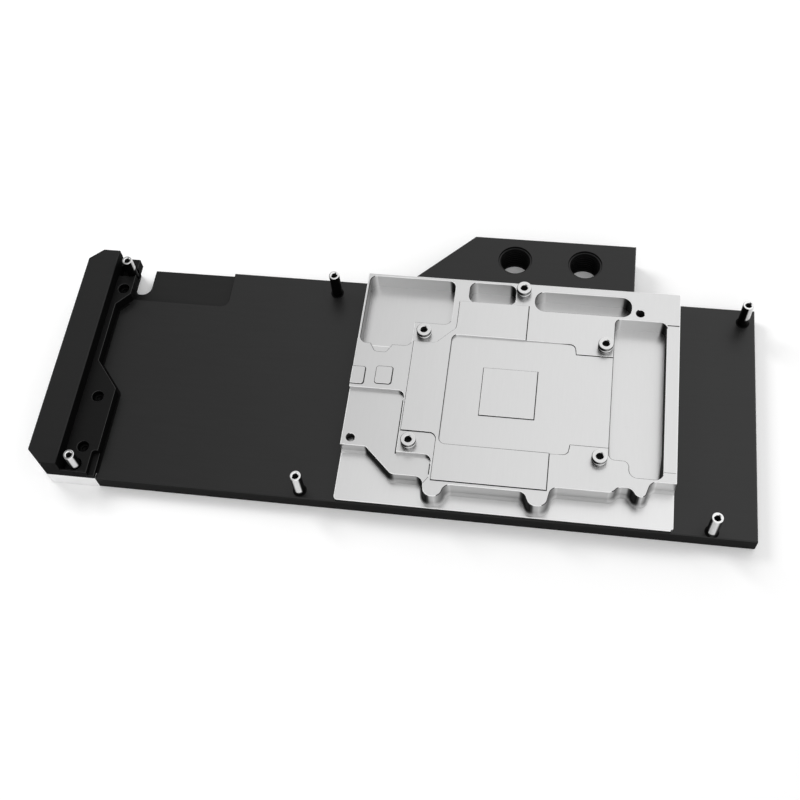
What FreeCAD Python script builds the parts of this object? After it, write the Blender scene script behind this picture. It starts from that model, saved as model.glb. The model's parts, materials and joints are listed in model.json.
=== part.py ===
import FreeCAD, Part
import math
import os
import Sketcher
from FreeCAD import Vector

# A water block for a graphics card, lying on its front with the side that meets the card upwards.
# Millimetres. Outlines are drawn from the near left corner of the top plate: x to the right,
# y towards the ports. Every piece is then placed so that the origin is the middle of the underside.

SIZES = {
    # Top plate
    "plate_length": 244.8,
    "plate_width": 98.1,
    "plate_thick": 7.0,
    "plate_edge": 0.4,
    "cut_over": 1.0,
    "tongue_reach": 13.0,
    "tongue_near": 28.0,
    "recess_length": 34.6,
    "recess_width": 16.6,
    "recess_depth": 2.5,
    "recess_radius": 3.0,
    "notch_width": 7.8,
    "notch_depth": 12.3,
    "notch_radius": 3.85,
    # Water ways in the top plate
    "chamber_depth": 5.0,
    "chamber_radius": 3.0,
    "inlet_width": 12.0,
    "inlet_near": 18.5,
    "outlet_left_reach": 34.0,
    "outlet_right_reach": 31.0,
    "outlet_leg": 13.0,
    "outlet_near": 33.0,
    "outlet_bend": 9.0,
    "rim_inset": 13.0,
    "passage_height": 2.8,
    "passage_cover": 2.4,
    "passage_radius": 1.35,
    # Main seal between the two plates
    "seal_left": 11.9,
    "seal_right": 19.0,
    "seal_near": 9.5,
    "seal_far": 8.0,
    "seal_radius": 6.0,
    "seal_width": 2.0,
    "seal_height": 1.6,
    "seal_play": 0.1,
    # Jet plate over the fins
    "jet_length": 34.0,
    "jet_width": 42.0,
    "jet_thick": 1.0,
    "jet_play": 0.1,
    "jet_corner": 2.0,
    "ledge_radius": 2.0,
    "slit_width": 1.4,
    "slit_length": 32.0,
    # Cold plate
    "cold_right_gap": 29.8,
    "cold_length": 122.9,
    "cold_far_gap": 1.5,
    "cold_thick": 9.4,
    "cold_radius": 1.5,
    "shelf_thick": 2.2,
    "low_drop": 1.95,
    "die_from_left": 60.3,
    "die_y": 46.6,
    "die_side": 20.4,
    "die_rise": 0.5,
    "field_half": 23.7,
    "field_radius": 2.4,
    "field_drop": 0.4,
    "field_step_x": 23.6,
    "field_step_y": 4.3,
    "field_step_slant": 0.6,
    "island_rise": 0.6,
    "island_left": 38.2,
    "island_side": 19.4,
    "island_top_left": 22.4,
    "island_top_right": 4.6,
    "island_far_gap": 10.6,
    "island_cut_x": 7.4,
    "island_cut_y": 7.6,
    "island_low_left": 24.8,
    "island_low_right": 16.8,
    "island_low": 38.5,
    "island_bend": 2.8,
    "fin_length": 42.0,
    "fin_span": 32.0,
    "fin_gap": 0.8,
    "fin_pitch": 1.6,
    "fin_depth": 3.0,
    # Pockets of the cold plate
    "big_wall": 1.0,
    "big_far_wall": 1.2,
    "big_right": 35.4,
    "big_step_x": 21.2,
    "big_step_gap": 4.95,
    "big_near_reach": 6.05,
    "big_radius": 2.8,
    "scallop_x": 9.6,
    "scallop_width": 8.6,
    "scallop_depth": 3.6,
    "scallop_drop": 2.0,
    "slot_a_length": 18.3,
    "slot_a_width": 9.3,
    "slot_a_far_wall": 1.1,
    "slot_a_gap": 2.9,
    "slot_a_radius": 3.0,
    "slot_b_gap": 4.8,
    "slot_b_length": 37.3,
    "slot_b_width": 8.9,
    "slot_b_far_wall": 3.2,
    "slot_b_radius": 4.0,
    "well_gap": 3.3,
    "well_rim": 4.8,
    "well_near": 16.3,
    "well_far": 13.4,
    "well_radius": 2.4,
    "well_near_radius": 1.7,
    "well_step_radius": 1.6,
    "well_step_x": 7.5,
    "well_step_y": 6.4,
    "rim_step": 3.0,
    "rim_end": 1.0,
    "rim_drop": 0.25,
    "low_far": 44.0,
    "low_right": 21.4,
    "low_near": 18.2,
    "low_tail": 34.6,
    "low_bend": 9.6,
    "low_end": 6.0,
    "low_end_x": 32.3,
    "low_radius": 2.8,
    "pad_rise": 0.4,
    "pad_length": 6.2,
    "pad_a_length": 5.1,
    "pad_width": 7.5,
    "pad_a_near": 45.4,
    "pad_b_x": 9.4,
    "pad_b_near": 46.2,
    "pad_radius": 0.9,
    # Near edge of the cold plate's thick part
    "edge_left": 20.2,
    "edge_left_end": 9.6,
    "edge_low_start": 20.4,
    "edge_low": 9.9,
    "edge_middle": 6.8,
    "edge_right": 9.6,
    "edge_bay": 12.1,
    "edge_bay_left": 20.5,
    "edge_last": 15.3,
    "edge_radius": 1.8,
    "finger_a_x": 36.3,
    "finger_b_x": 74.4,
    "finger_width": 5.8,
    "finger_tip": 1.7,
    "finger_radius": 3.2,
    "finger_flare": 1.4,
    "finger_b_flare": 2.1,
    "nib_inset": 12.4,
    "nib_width": 2.8,
    "nib_tip": 8.9,
    "nib_flare": 2.0,
    "nib_radius": 1.2,
    # Terminal with the two ports
    "terminal_right_gap": 19.85,
    "terminal_back": 64.8,
    "terminal_reach": 23.0,
    "terminal_thick": 12.8,
    "terminal_edge": 0.4,
    "port_from_die": 2.8,
    "port_spacing": 28.05,
    "port_y": 12.3,
    "port_radius": 5.9,
    "port_mouth": 0.7,
    "port_seal_width": 1.0,
    "port_seal_depth": 1.0,
    "port_seal_land": 0.25,
    # End cover, diffuser and light strip
    "cover_reach": 24.4,
    "cover_wall": 12.1,
    "cover_high": 10.7,
    "flange_high": 4.8,
    "cover_chamfer_x": 5.3,
    "cover_chamfer_y": 4.8,
    "flange_radius": 1.5,
    "flange_near_end": 36.8,
    "flange_waist": 10.2,
    "flange_waist_near": 48.8,
    "flange_waist_far": 22.4,
    "flange_far": 5.2,
    "flange_far_start": 16.9,
    "cover_edge": 0.3,
    "channel_wall": 2.0,
    "channel_top": 1.5,
    "channel_end": 5.5,
    "channel_radius": 1.0,
    "relief_width": 2.2,
    "relief_length": 9.6,
    "relief_depth": 2.8,
    "relief_radius": 1.2,
    "strip_width": 6.0,
    "strip_thick": 1.0,
    "strip_gap": 1.0,
    "lamp_start": 3.0,
    "lamp_side": 3.5,
    "lamp_high": 1.4,
    "lamp_pitch": 12.0,
    # Standoffs that carry the card
    "post_radius": 2.07,
    "post_high": 12.57,
    "post_bore": 1.1,
    "post_bore_depth": 9.0,
    "row_near": 3.2,
    "row_far": 6.05,
    "post_end_x": 7.3,
    "post_middle_gap": 13.3,
    "post_right_far_x": 4.7,
    "post_right_near_x": 16.1,
    "post_right_near_y": 2.3,
    "post_clear": 0.5,
    "post_pocket_radius": 2.5,
    "post_floor": 0.8,
    "boss_radius": 2.85,
    "boss_bore": 1.3,
    "bolt_span_x": 69.6,
    "bolt_span_y": 47.8,
    "bolt_shift_x": 0.05,
    "bolt_shift_y": 0.45,
    "boss_port_shift": 2.1,
    "boss_port_y": 3.9,
    # Threaded holes in the cold plate
    "thread_radius": 1.6,
    "thread_depth": 5.0,
    "thread_far_x": 15.1,
    "thread_far_y": 10.0,
    "thread_near_x": 3.5,
    "thread_near_y": 23.4,
    # Screws of the end cover
    "screw_key": 1.15,
    "screw_key_depth": 0.9,
    "screw_play": 0.1,
    "thread_play": 0.05,
    "cover_screw_radius": 1.25,
    "cover_screw_head": 2.1,
    "cover_screw_head_high": 1.5,
    "cover_screw_bite": 4.0,
    "cover_well_radius": 2.35,
    "cover_well_depth": 3.3,
    "cover_screw_x": 6.1,
    "cover_screw_near_a": 10.7,
    "cover_screw_near_b": 32.7,
    "cover_screw_far_x": 8.6,
    "cover_screw_far_y": 14.8,
}

doc = FreeCAD.newDocument("WaterBlock")
sheet = doc.addObject("Spreadsheet::Sheet", "Sizes")
for row, (alias, number) in enumerate(SIZES.items(), 1):
    sheet.set(f"A{row}", alias)
    sheet.set(f"B{row}", str(number))
    sheet.setAlias(f"B{row}", alias)
doc.recompute()


class Size:
    # A length together with the spreadsheet expression that gives it

    def __init__(self, value, text):
        self.value = value
        self.text = text

    def __add__(self, other):
        other = size(other)
        return Size(self.value + other.value, f"({self.text} + {other.text})")

    def __sub__(self, other):
        other = size(other)
        return Size(self.value - other.value, f"({self.text} - {other.text})")

    def __mul__(self, factor):
        return Size(self.value * factor, f"({self.text} * {factor})")

    def __truediv__(self, divisor):
        return Size(self.value / divisor, f"({self.text} / {divisor})")

    def __neg__(self):
        return Size(-self.value, f"(0 - {self.text})")


def size(number):
    if isinstance(number, Size):
        return number
    return Size(float(number), str(number))


class Sheet:
    # The cells of the spreadsheet by their names

    def __getattr__(self, alias):
        return Size(float(sheet.get(alias)), f"Sizes.{alias}")


s = Sheet()

# Lines that several pieces share
coldRight = s.plate_length - s.cold_right_gap
coldLeft = coldRight - s.cold_length
dieX = coldLeft + s.die_from_left
portX = dieX - s.port_from_die
bossPortX = dieX + s.boss_port_shift
coldFar = s.plate_width - s.cold_far_gap
coldTop = s.cold_thick
fieldLevel = s.cold_thick - s.field_drop
lowLevel = s.cold_thick - s.low_drop
outletX = portX + s.port_spacing
rowFarY = s.plate_width - s.row_far
boltLeft = dieX + s.bolt_shift_x - s.bolt_span_x / 2
boltRight = boltLeft + s.bolt_span_x
boltNear = s.die_y - s.bolt_shift_y - s.bolt_span_y / 2
boltFar = boltNear + s.bolt_span_y
bigStep = boltFar + s.big_step_gap
bigNear = boltFar - s.big_near_reach
terminalRight = outletX + s.terminal_right_gap
wellLeft = boltRight + s.well_gap
wellRight = coldRight - s.well_rim
passageLow = -(s.passage_cover + s.passage_height)
over = s.cut_over


def bind(thing, prop, length):
    setattr(thing, prop, length.value)
    thing.setExpression(prop, length.text)


def seat(thing, level, x=0, y=0):
    # Places a piece drawn from the plate's corner into the frame of the whole part
    x = size(x) + (s.cover_reach - s.plate_length) / 2
    y = size(y) - (s.plate_width + s.terminal_reach) / 2
    level = size(level)
    thing.Placement.Base = Vector(x.value, y.value, level.value)
    thing.setExpression("Placement.Base.x", x.text)
    thing.setExpression("Placement.Base.y", y.text)
    thing.setExpression("Placement.Base.z", level.text)


def newBody(label, level, x=0, y=0):
    body = doc.addObject("PartDesign::Body", label)
    body.Label = label
    seat(body, level, x, y)
    return body


def newSketch(body, name, level=0, plane="XY_Plane"):
    origin = [item for item in body.Origin.OriginFeatures if item.Role == plane][0]
    sketch = body.newObject("Sketcher::SketchObject", f"{body.Name}_{name}")
    sketch.AttachmentSupport = [(origin, "")]
    sketch.MapMode = "FlatFace"
    level = size(level)
    sketch.AttachmentOffset = FreeCAD.Placement(Vector(0, 0, level.value), FreeCAD.Rotation())
    sketch.setExpression("AttachmentOffset.Base.z", level.text)
    return sketch


class Rules:
    # Collects a sketch's constraints, adds them together and ties each length to the spreadsheet

    def __init__(self, sketch):
        self.sketch = sketch
        self.constraints = []
        self.texts = {}

    def shape(self, kind, *parts):
        self.constraints.append(Sketcher.Constraint(kind, *parts))

    def hold(self, kind, *parts):
        length = size(parts[-1])
        self.texts[len(self.constraints)] = length.text
        self.shape(kind, *parts[:-1], length.value)

    def pin(self, geometry, point, x, y):
        self.hold("DistanceX", geometry, point, x)
        self.hold("DistanceY", geometry, point, y)

    def apply(self):
        first = len(self.sketch.Constraints)
        self.sketch.addConstraint(self.constraints)
        for number, text in self.texts.items():
            self.sketch.setExpression(f"Constraints[{first + number}]", text)


def outline(sketch, corners):
    # A closed outline of straight lines; a corner with a third number is rounded to that radius
    spots = [Vector(size(corner[0]).value, size(corner[1]).value, 0) for corner in corners]
    enters, leaves, arcs = [], [], []
    for i, corner in enumerate(corners):
        spot = spots[i]
        back = (spots[i - 1] - spot).normalize()
        ahead = (spots[(i + 1) % len(spots)] - spot).normalize()
        if len(corner) < 3:
            enters.append(spot)
            leaves.append(spot)
            arcs.append(None)
            continue
        radius = size(corner[2]).value
        half = back.getAngle(ahead) / 2
        middle = spot + (back + ahead).normalize() * (radius / math.sin(half))
        enters.append(spot + back * (radius / math.tan(half)))
        leaves.append(spot + ahead * (radius / math.tan(half)))
        anticlockwise = ahead.cross(back).z > 0
        first, last = (enters[i], leaves[i]) if anticlockwise else (leaves[i], enters[i])
        begin = math.atan2(first.y - middle.y, first.x - middle.x)
        finish = math.atan2(last.y - middle.y, last.x - middle.x)
        if finish < begin:
            finish += 2 * math.pi
        ring = Part.Circle(middle, Vector(0, 0, 1), radius)
        arcs.append((Part.ArcOfCircle(ring, begin, finish), anticlockwise))
    rules = Rules(sketch)
    lines = []
    for i in range(len(corners)):
        line = Part.LineSegment(leaves[i], enters[(i + 1) % len(corners)])
        lines.append(sketch.addGeometry(line, False))
    for i, corner in enumerate(corners):
        before, after = lines[i - 1], lines[i]
        if arcs[i] is None:
            rules.shape("Coincident", before, 2, after, 1)
            rules.pin(after, 1, corner[0], corner[1])
            continue
        arc = sketch.addGeometry(arcs[i][0], False)
        first, last = (1, 2) if arcs[i][1] else (2, 1)
        rules.shape("Tangent", before, 2, arc, first)
        rules.shape("Tangent", arc, last, after, 1)
        rules.hold("Radius", arc, corner[2])
        mark = sketch.addGeometry(Part.Point(spots[i]), True)
        rules.shape("PointOnObject", mark, 1, before)
        rules.shape("PointOnObject", mark, 1, after)
        rules.pin(mark, 1, corner[0], corner[1])
    rules.apply()


def rectangle(sketch, left, near, right, far, radius=None):
    corners = [(left, near), (right, near), (right, far), (left, far)]
    if radius is not None:
        corners = [corner + (radius,) for corner in corners]
    outline(sketch, corners)


def circle(sketch, x, y, radius):
    x, y = size(x), size(y)
    ring = sketch.addGeometry(Part.Circle(Vector(x.value, y.value, 0), Vector(0, 0, 1), radius.value))
    rules = Rules(sketch)
    rules.hold("Radius", ring, radius)
    rules.pin(ring, 3, x, y)
    rules.apply()


def hexagon(sketch, x, y, reach):
    # A key socket, with its corners at the given distance from the middle
    x, y = size(x), size(y)
    corners = []
    for turn in range(6):
        angle = math.radians(60 * turn)
        corners.append((x + reach * round(math.cos(angle), 6), y + reach * round(math.sin(angle), 6)))
    outline(sketch, corners)


def feature(body, kind, sketch, length, towards=False):
    before = body.Shape.Volume if body.Tip else 0
    step = body.newObject(f"PartDesign::{kind}", f"{sketch.Name}_{kind}")
    step.Profile = sketch
    step.Reversed = towards
    bind(step, "Length", size(length))
    sketch.Visibility = False
    doc.recompute()
    after = body.Shape.Volume
    grown = after > before + 1e-6 if kind == "Pad" else after < before - 1e-6
    if not grown:
        raise RuntimeError(f"{sketch.Name} changes nothing")
    return step


def pad(body, sketch, length, downwards=False):
    return feature(body, "Pad", sketch, length, downwards)


def pocket(body, sketch, depth, upwards=False):
    return feature(body, "Pocket", sketch, depth, upwards)


def bevel(body, width, wanted):
    # Chamfers each edge of the body that the given test picks
    names = [f"Edge{i}" for i, edge in enumerate(body.Shape.Edges, 1) if wanted(edge)]
    last = body.Tip
    step = body.newObject("PartDesign::Chamfer", f"{body.Name}_bevel{len(body.Group)}")
    step.Base = (last, names)
    bind(step, "Size", width)
    doc.recompute()
    return step


def onLevel(edge, level):
    # In the frame of the whole part
    box = edge.BoundBox
    return abs(box.ZMin - level) < 1e-4 and abs(box.ZMax - level) < 1e-4


def bevelPlate(body, level):
    # Breaks the near, far and right edges of the top plate on one level
    corner = body.Placement.Base

    def wanted(edge):
        box = edge.BoundBox
        near = abs(box.YMax - corner.y) < 1e-4
        far = abs(box.YMin - corner.y - s.plate_width.value) < 1e-4
        right = abs(box.XMin - corner.x - s.plate_length.value) < 1e-4
        return onLevel(edge, level) and (near or far or right)

    bevel(body, s.plate_edge, wanted)


def topPlate():
    body = newBody("top_plate", 0)
    base = newSketch(body, "outline")
    outline(base, [
        (0, 0), (s.plate_length, 0), (s.plate_length, s.plate_width),
        (0, s.plate_width), (0, s.plate_width - s.notch_depth, s.notch_radius),
        (-s.notch_width, s.plate_width - s.notch_depth, s.notch_radius), (-s.notch_width, s.plate_width),
        (-s.tongue_reach, s.plate_width), (-s.tongue_reach, s.tongue_near), (0, s.tongue_near),
    ])
    pad(body, base, s.plate_thick)
    bevelPlate(body, s.plate_thick.value)
    bevelPlate(body, 0)

    recess = newSketch(body, "recess", s.plate_thick)
    edge = s.plate_width - s.recess_width
    outline(recess, [
        (-s.flange_far, edge), (s.recess_length, edge, s.recess_radius),
        (s.recess_length, s.plate_width + over), (-s.flange_far, s.plate_width + over),
    ])
    pocket(body, recess, s.recess_depth)

    inlet = newSketch(body, "inlet", s.plate_thick)
    rectangle(inlet, portX - s.inlet_width / 2, s.die_y - s.inlet_near, portX + s.inlet_width / 2,
              s.plate_width - s.rim_inset, s.chamber_radius)
    pocket(body, inlet, s.chamber_depth)

    outlet = newSketch(body, "outlet", s.plate_thick)
    leftEdge = dieX - s.outlet_left_reach
    rightEdge = outletX + s.inlet_width / 2
    nearEdge = s.die_y - s.outlet_near
    turn = nearEdge + s.outlet_bend
    farLeft = s.die_y + s.fin_span / 2
    outline(outlet, [
        (leftEdge, nearEdge, s.chamber_radius), (rightEdge, nearEdge, s.chamber_radius),
        (rightEdge, s.plate_width - s.rim_inset, s.chamber_radius),
        (outletX - s.inlet_width / 2, s.plate_width - s.rim_inset, s.chamber_radius),
        (outletX - s.inlet_width / 2, turn), (leftEdge + s.outlet_leg, turn),
        (leftEdge + s.outlet_leg, farLeft, s.chamber_radius), (leftEdge, farLeft, s.chamber_radius),
    ])
    pocket(body, outlet, s.chamber_depth)

    ledge = newSketch(body, "ledge", s.plate_thick)
    rectangle(ledge, dieX - s.jet_length / 2 - s.jet_play, s.die_y - s.jet_width / 2 - s.jet_play,
              dieX + s.jet_length / 2 + s.jet_play, s.die_y + s.jet_width / 2 + s.jet_play, s.ledge_radius)
    pocket(body, ledge, s.jet_thick)

    groove = newSketch(body, "groove", s.plate_thick)
    sealLoop(groove, s.seal_width / 2 + s.seal_play)
    pocket(body, groove, s.seal_height)

    for name, x in (("inlet_way", portX), ("outlet_way", outletX)):
        way = newSketch(body, name, -s.plate_width, "XZ_Plane")
        rectangle(way, x - s.inlet_width / 2, s.plate_thick + passageLow, x + s.inlet_width / 2,
                  s.plate_thick - s.passage_cover, s.passage_radius)
        pocket(body, way, s.rim_inset + s.chamber_radius, upwards=True)

    threads = newSketch(body, "cover_threads", s.plate_thick)
    for x, y in coverScrews().values():
        if y.value > s.tongue_near.value:
            circle(threads, x, y, s.cover_screw_radius + s.thread_play)
    pocket(body, threads, s.cover_screw_bite + s.thread_play)


def sealLoop(sketch, half):
    # Two rounded rectangles, half a width inside and outside the seal's middle line
    for side in (half, -half):
        rectangle(sketch, coldLeft + s.seal_left - side, s.seal_near - side,
                  coldRight - s.seal_right + side, coldFar - s.seal_far + side, s.seal_radius + side)


def mainSeal():
    body = newBody("main_seal", s.plate_thick - s.seal_height)
    loop = newSketch(body, "loop")
    sealLoop(loop, s.seal_width / 2)
    pad(body, loop, s.seal_height)


def jetPlate():
    body = newBody("jet_plate", s.plate_thick - s.jet_thick)
    sheetOutline = newSketch(body, "outline")
    left, right = dieX - s.jet_length / 2, dieX + s.jet_length / 2
    near, far = s.die_y - s.jet_width / 2, s.die_y + s.jet_width / 2
    cut = s.jet_corner
    outline(sheetOutline, [
        (left + cut, near), (right - cut, near), (right, near + cut), (right, far - cut),
        (right - cut, far), (left + cut, far), (left, far - cut), (left, near + cut),
    ])
    pad(body, sheetOutline, s.jet_thick)
    slit = newSketch(body, "slit", s.jet_thick)
    rectangle(slit, dieX - s.slit_width / 2, s.die_y - s.slit_length / 2,
              dieX + s.slit_width / 2, s.die_y + s.slit_length / 2)
    pocket(body, slit, s.jet_thick)


def coldPlate():
    # One milled block: the thick part is stepped down to a shelf, and pockets clear the card's tall parts
    body = newBody("cold_plate", s.plate_thick)
    base = newSketch(body, "outline")
    outline(base, [
        (coldLeft, 0, s.cold_radius), (coldRight, 0, s.cold_radius),
        (coldRight, coldFar), (coldLeft, coldFar),
    ])
    pad(body, base, coldTop)
    deep = s.cold_thick - s.shelf_thick

    shelf = newSketch(body, "shelf", coldTop)
    fingerA, fingerB = coldLeft + s.finger_a_x, coldLeft + s.finger_b_x
    half = s.finger_width / 2
    nib = coldRight - s.nib_inset
    r = s.edge_radius
    outline(shelf, [
        (coldLeft - over, -over), (coldLeft - over, s.edge_left),
        (coldLeft + s.edge_left_end, s.edge_left, r), (coldLeft + s.edge_low_start, s.edge_low, r),
        (fingerA - half - s.finger_flare, s.edge_low, r), (fingerA - half, s.finger_tip, s.finger_radius),
        (fingerA + half, s.finger_tip, s.finger_radius), (fingerA + half + s.finger_flare, s.edge_middle, r),
        (fingerB - half - s.finger_b_flare, s.edge_middle, r),
        (fingerB - half, s.finger_tip, s.finger_radius),
        (fingerB + half, s.finger_tip, s.finger_radius),
        (fingerB + half + s.finger_flare, s.edge_right, r),
        (coldRight - s.edge_bay_left - s.nib_flare, s.edge_right, r),
        (coldRight - s.edge_bay_left, s.edge_bay, r),
        (nib - s.nib_width / 2 - s.nib_flare, s.edge_bay, s.nib_radius),
        (nib - s.nib_width / 2, s.nib_tip, s.nib_radius),
        (nib + s.nib_width / 2, s.nib_tip, s.nib_radius),
        (nib + s.nib_width / 2 + s.nib_flare, s.edge_last, r),
        (coldRight + over, s.edge_last), (coldRight + over, -over),
    ])
    pocket(body, shelf, deep)

    low = newSketch(body, "low_part", coldTop)
    outline(low, [
        (coldLeft - over, -over), (coldLeft - over, s.low_far),
        (coldLeft + s.low_right, s.low_far, s.low_radius), (coldLeft + s.low_right, s.low_near),
        (coldLeft + s.low_tail, s.low_near, s.low_radius), (coldLeft + s.low_tail, s.low_bend, s.low_radius),
        (coldLeft + s.low_end_x, s.low_end), (coldLeft + s.low_end_x, -over),
    ])
    pocket(body, low, s.low_drop)

    # Raised strip that presses on the memory chips, and the field around the processor
    island = newSketch(body, "island", coldTop)
    outline(island, [
        (dieX - s.island_top_left, coldFar - s.island_far_gap),
        (dieX + s.island_top_right, coldFar - s.island_far_gap),
        (dieX + s.island_top_right, s.die_y), (dieX + s.island_low_right, s.die_y),
        (dieX + s.island_low_right, s.die_y - s.island_low),
        (dieX - s.island_low_left, s.die_y - s.island_low),
        (dieX - s.island_low_left, s.die_y - s.island_side, s.island_bend),
        (dieX - s.island_left, s.die_y - s.island_side),
        (dieX - s.island_left, s.die_y + s.island_side),
        (dieX - s.island_top_left - s.island_cut_x, s.die_y + s.island_side, s.island_bend),
        (dieX - s.island_top_left, s.die_y + s.island_side + s.island_cut_y, s.island_bend),
    ])
    pad(body, island, s.island_rise)
    field = newSketch(body, "field", coldTop + s.island_rise)
    stepX = dieX + s.field_step_x
    stepHalf = s.field_half - s.field_step_y
    outline(field, [
        (dieX - s.field_half, s.die_y - s.field_half, s.field_radius),
        (stepX, s.die_y - s.field_half, s.field_radius), (stepX + s.field_step_slant, s.die_y - stepHalf),
        (wellLeft, s.die_y - stepHalf), (wellLeft, s.die_y + stepHalf),
        (stepX + s.field_step_slant, s.die_y + stepHalf),
        (stepX, s.die_y + s.field_half, s.field_radius),
        (dieX - s.field_half, s.die_y + s.field_half, s.field_radius),
    ])
    pocket(body, field, s.field_drop + s.island_rise)
    die = newSketch(body, "die", fieldLevel)
    rectangle(die, dieX - s.die_side / 2, s.die_y - s.die_side / 2, dieX + s.die_side / 2,
              s.die_y + s.die_side / 2)
    pad(body, die, s.die_rise)
    pads = newSketch(body, "pads", coldTop)
    outline(pads, [
        (coldLeft, s.pad_a_near), (coldLeft + s.pad_a_length, s.pad_a_near, s.pad_radius),
        (coldLeft + s.pad_a_length, s.pad_a_near + s.pad_width, s.pad_radius),
        (coldLeft, s.pad_a_near + s.pad_width),
    ])
    rectangle(pads, coldLeft + s.pad_b_x, s.pad_b_near, coldLeft + s.pad_b_x + s.pad_length,
              s.pad_b_near + s.pad_width, s.pad_radius)
    pad(body, pads, s.pad_rise)

    big = newSketch(body, "big_pocket", coldTop)
    left, far = coldLeft + s.big_wall, coldFar - s.big_far_wall
    outline(big, [
        (left, bigNear, s.big_radius),
        (coldLeft + s.big_step_x, bigNear, s.big_radius),
        (coldLeft + s.big_step_x, bigStep),
        (coldLeft + s.big_right, bigStep, s.big_radius),
        (coldLeft + s.big_right, far, s.big_radius), (left, far, s.big_radius),
    ])
    pocket(body, big, deep)
    scallop = newSketch(body, "scallop", coldTop)
    middle = coldLeft + s.scallop_x
    outline(scallop, [
        (middle - s.scallop_width / 2, bigNear + over),
        (middle - s.scallop_width / 2, bigNear),
        (middle - s.scallop_width / 4, bigNear - s.scallop_depth, s.edge_radius),
        (middle + s.scallop_width / 4, bigNear - s.scallop_depth, s.edge_radius),
        (middle + s.scallop_width / 2, bigNear),
        (middle + s.scallop_width / 2, bigNear + over),
    ])
    pocket(body, scallop, s.scallop_drop)

    slots = newSketch(body, "slots", coldTop)
    right = bossPortX - s.slot_a_gap
    far = coldFar - s.slot_a_far_wall
    rectangle(slots, right - s.slot_a_length, far - s.slot_a_width, right, far, s.slot_a_radius)
    left = bossPortX + s.slot_b_gap
    far = coldFar - s.slot_b_far_wall
    rectangle(slots, left, far - s.slot_b_width, left + s.slot_b_length, far, s.slot_b_radius)
    pocket(body, slots, deep)

    well = newSketch(body, "well", coldTop + s.island_rise)
    outline(well, [
        (wellLeft + s.well_step_x, s.well_near, s.well_step_radius),
        (wellRight, s.well_near, s.well_near_radius),
        (wellRight, coldFar - s.well_far, s.well_radius), (wellLeft, coldFar - s.well_far, s.well_radius),
        (wellLeft, s.well_near + s.well_step_y, s.well_radius),
        (wellLeft + s.well_step_x, s.well_near + s.well_step_y, s.well_radius),
    ])
    pocket(body, well, deep + s.island_rise)
    rim = newSketch(body, "rim", coldTop)
    rectangle(rim, wellRight, s.well_near + s.rim_step, coldRight + over, coldFar - s.well_far - s.rim_end)
    pocket(body, rim, s.rim_drop)

    holes = newSketch(body, "card_threads", coldTop)
    for x, y in cardThreads():
        circle(holes, x, y, s.thread_radius)
    pocket(body, holes, s.thread_depth)

    # Cooling fins: narrow slots side by side in the underside
    slot = newSketch(body, "fin_slot")
    rectangle(slot, dieX - s.fin_length / 2, s.die_y - s.fin_span / 2, dieX + s.fin_length / 2,
              s.die_y - s.fin_span / 2 + s.fin_gap)
    cut = pocket(body, slot, s.fin_depth, upwards=True)
    before = body.Shape.Volume
    fins = body.newObject("PartDesign::LinearPattern", "cold_plate_fins")
    fins.Originals = [cut]
    fins.Direction = (slot, ["V_Axis"])
    fins.Mode = "Spacing"
    bind(fins, "Offset", s.fin_pitch)
    fins.Occurrences = int(round(s.fin_span.value / s.fin_pitch.value))
    body.Tip = fins
    doc.recompute()
    if not body.Shape.Volume < before - 1:
        raise RuntimeError("the fins are not cut")


def terminal():
    body = newBody("terminal", 0)
    far = s.plate_width + s.terminal_reach
    base = newSketch(body, "outline")
    outline(base, [
        (terminalRight - s.terminal_back - s.terminal_reach, s.plate_width),
        (terminalRight, s.plate_width),
        (terminalRight, far), (terminalRight - s.terminal_back, far),
    ])
    pad(body, base, s.terminal_thick)
    bevel(body, s.terminal_edge, lambda edge: onLevel(edge, s.terminal_thick.value) or onLevel(edge, 0))
    ports = newSketch(body, "ports")
    mouths = newSketch(body, "mouths", s.terminal_thick)
    for x in (portX, outletX):
        circle(ports, x, s.plate_width + s.port_y, s.port_radius)
        circle(mouths, x, s.plate_width + s.port_y, s.port_radius + s.port_mouth)
    pocket(body, ports, s.terminal_thick, upwards=True)
    pocket(body, mouths, s.port_mouth)
    for name, x in (("inlet_way", portX), ("outlet_way", outletX)):
        way = newSketch(body, name, -s.plate_width, "XZ_Plane")
        rectangle(way, x - s.inlet_width / 2, s.plate_thick + passageLow, x + s.inlet_width / 2,
                  s.plate_thick - s.passage_cover, s.passage_radius)
        pocket(body, way, s.port_y)
        groove = newSketch(body, name + "_groove", -s.plate_width, "XZ_Plane")
        outer = s.port_seal_land + s.port_seal_width
        portLoop(groove, x, s.port_seal_land - s.thread_play, outer + s.thread_play)
        pocket(body, groove, s.port_seal_depth)


def portLoop(sketch, x, inner, outer):
    # Two rounded outlines round a water way, at two distances from its edge
    for reach in (inner, outer):
        rectangle(sketch, x - s.inlet_width / 2 - reach, s.plate_thick + passageLow - reach,
                  x + s.inlet_width / 2 + reach, s.plate_thick - s.passage_cover + reach,
                  s.passage_radius + reach)


def portSeal(label, x):
    body = newBody(label, 0, 0, s.plate_width)
    loop = newSketch(body, "loop", 0, "XZ_Plane")
    portLoop(loop, x, s.port_seal_land, s.port_seal_land + s.port_seal_width)
    pad(body, loop, s.port_seal_depth, downwards=True)


def coverOutline(right):
    # The left end shared by the cover and the diffuser, then the given corners back to the near edge
    left = -s.cover_reach
    return [
        (left + s.cover_chamfer_x, 0), (left, s.cover_chamfer_y),
        (left, s.plate_width - s.cover_chamfer_y), (left + s.cover_chamfer_x, s.plate_width),
    ] + right


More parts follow.
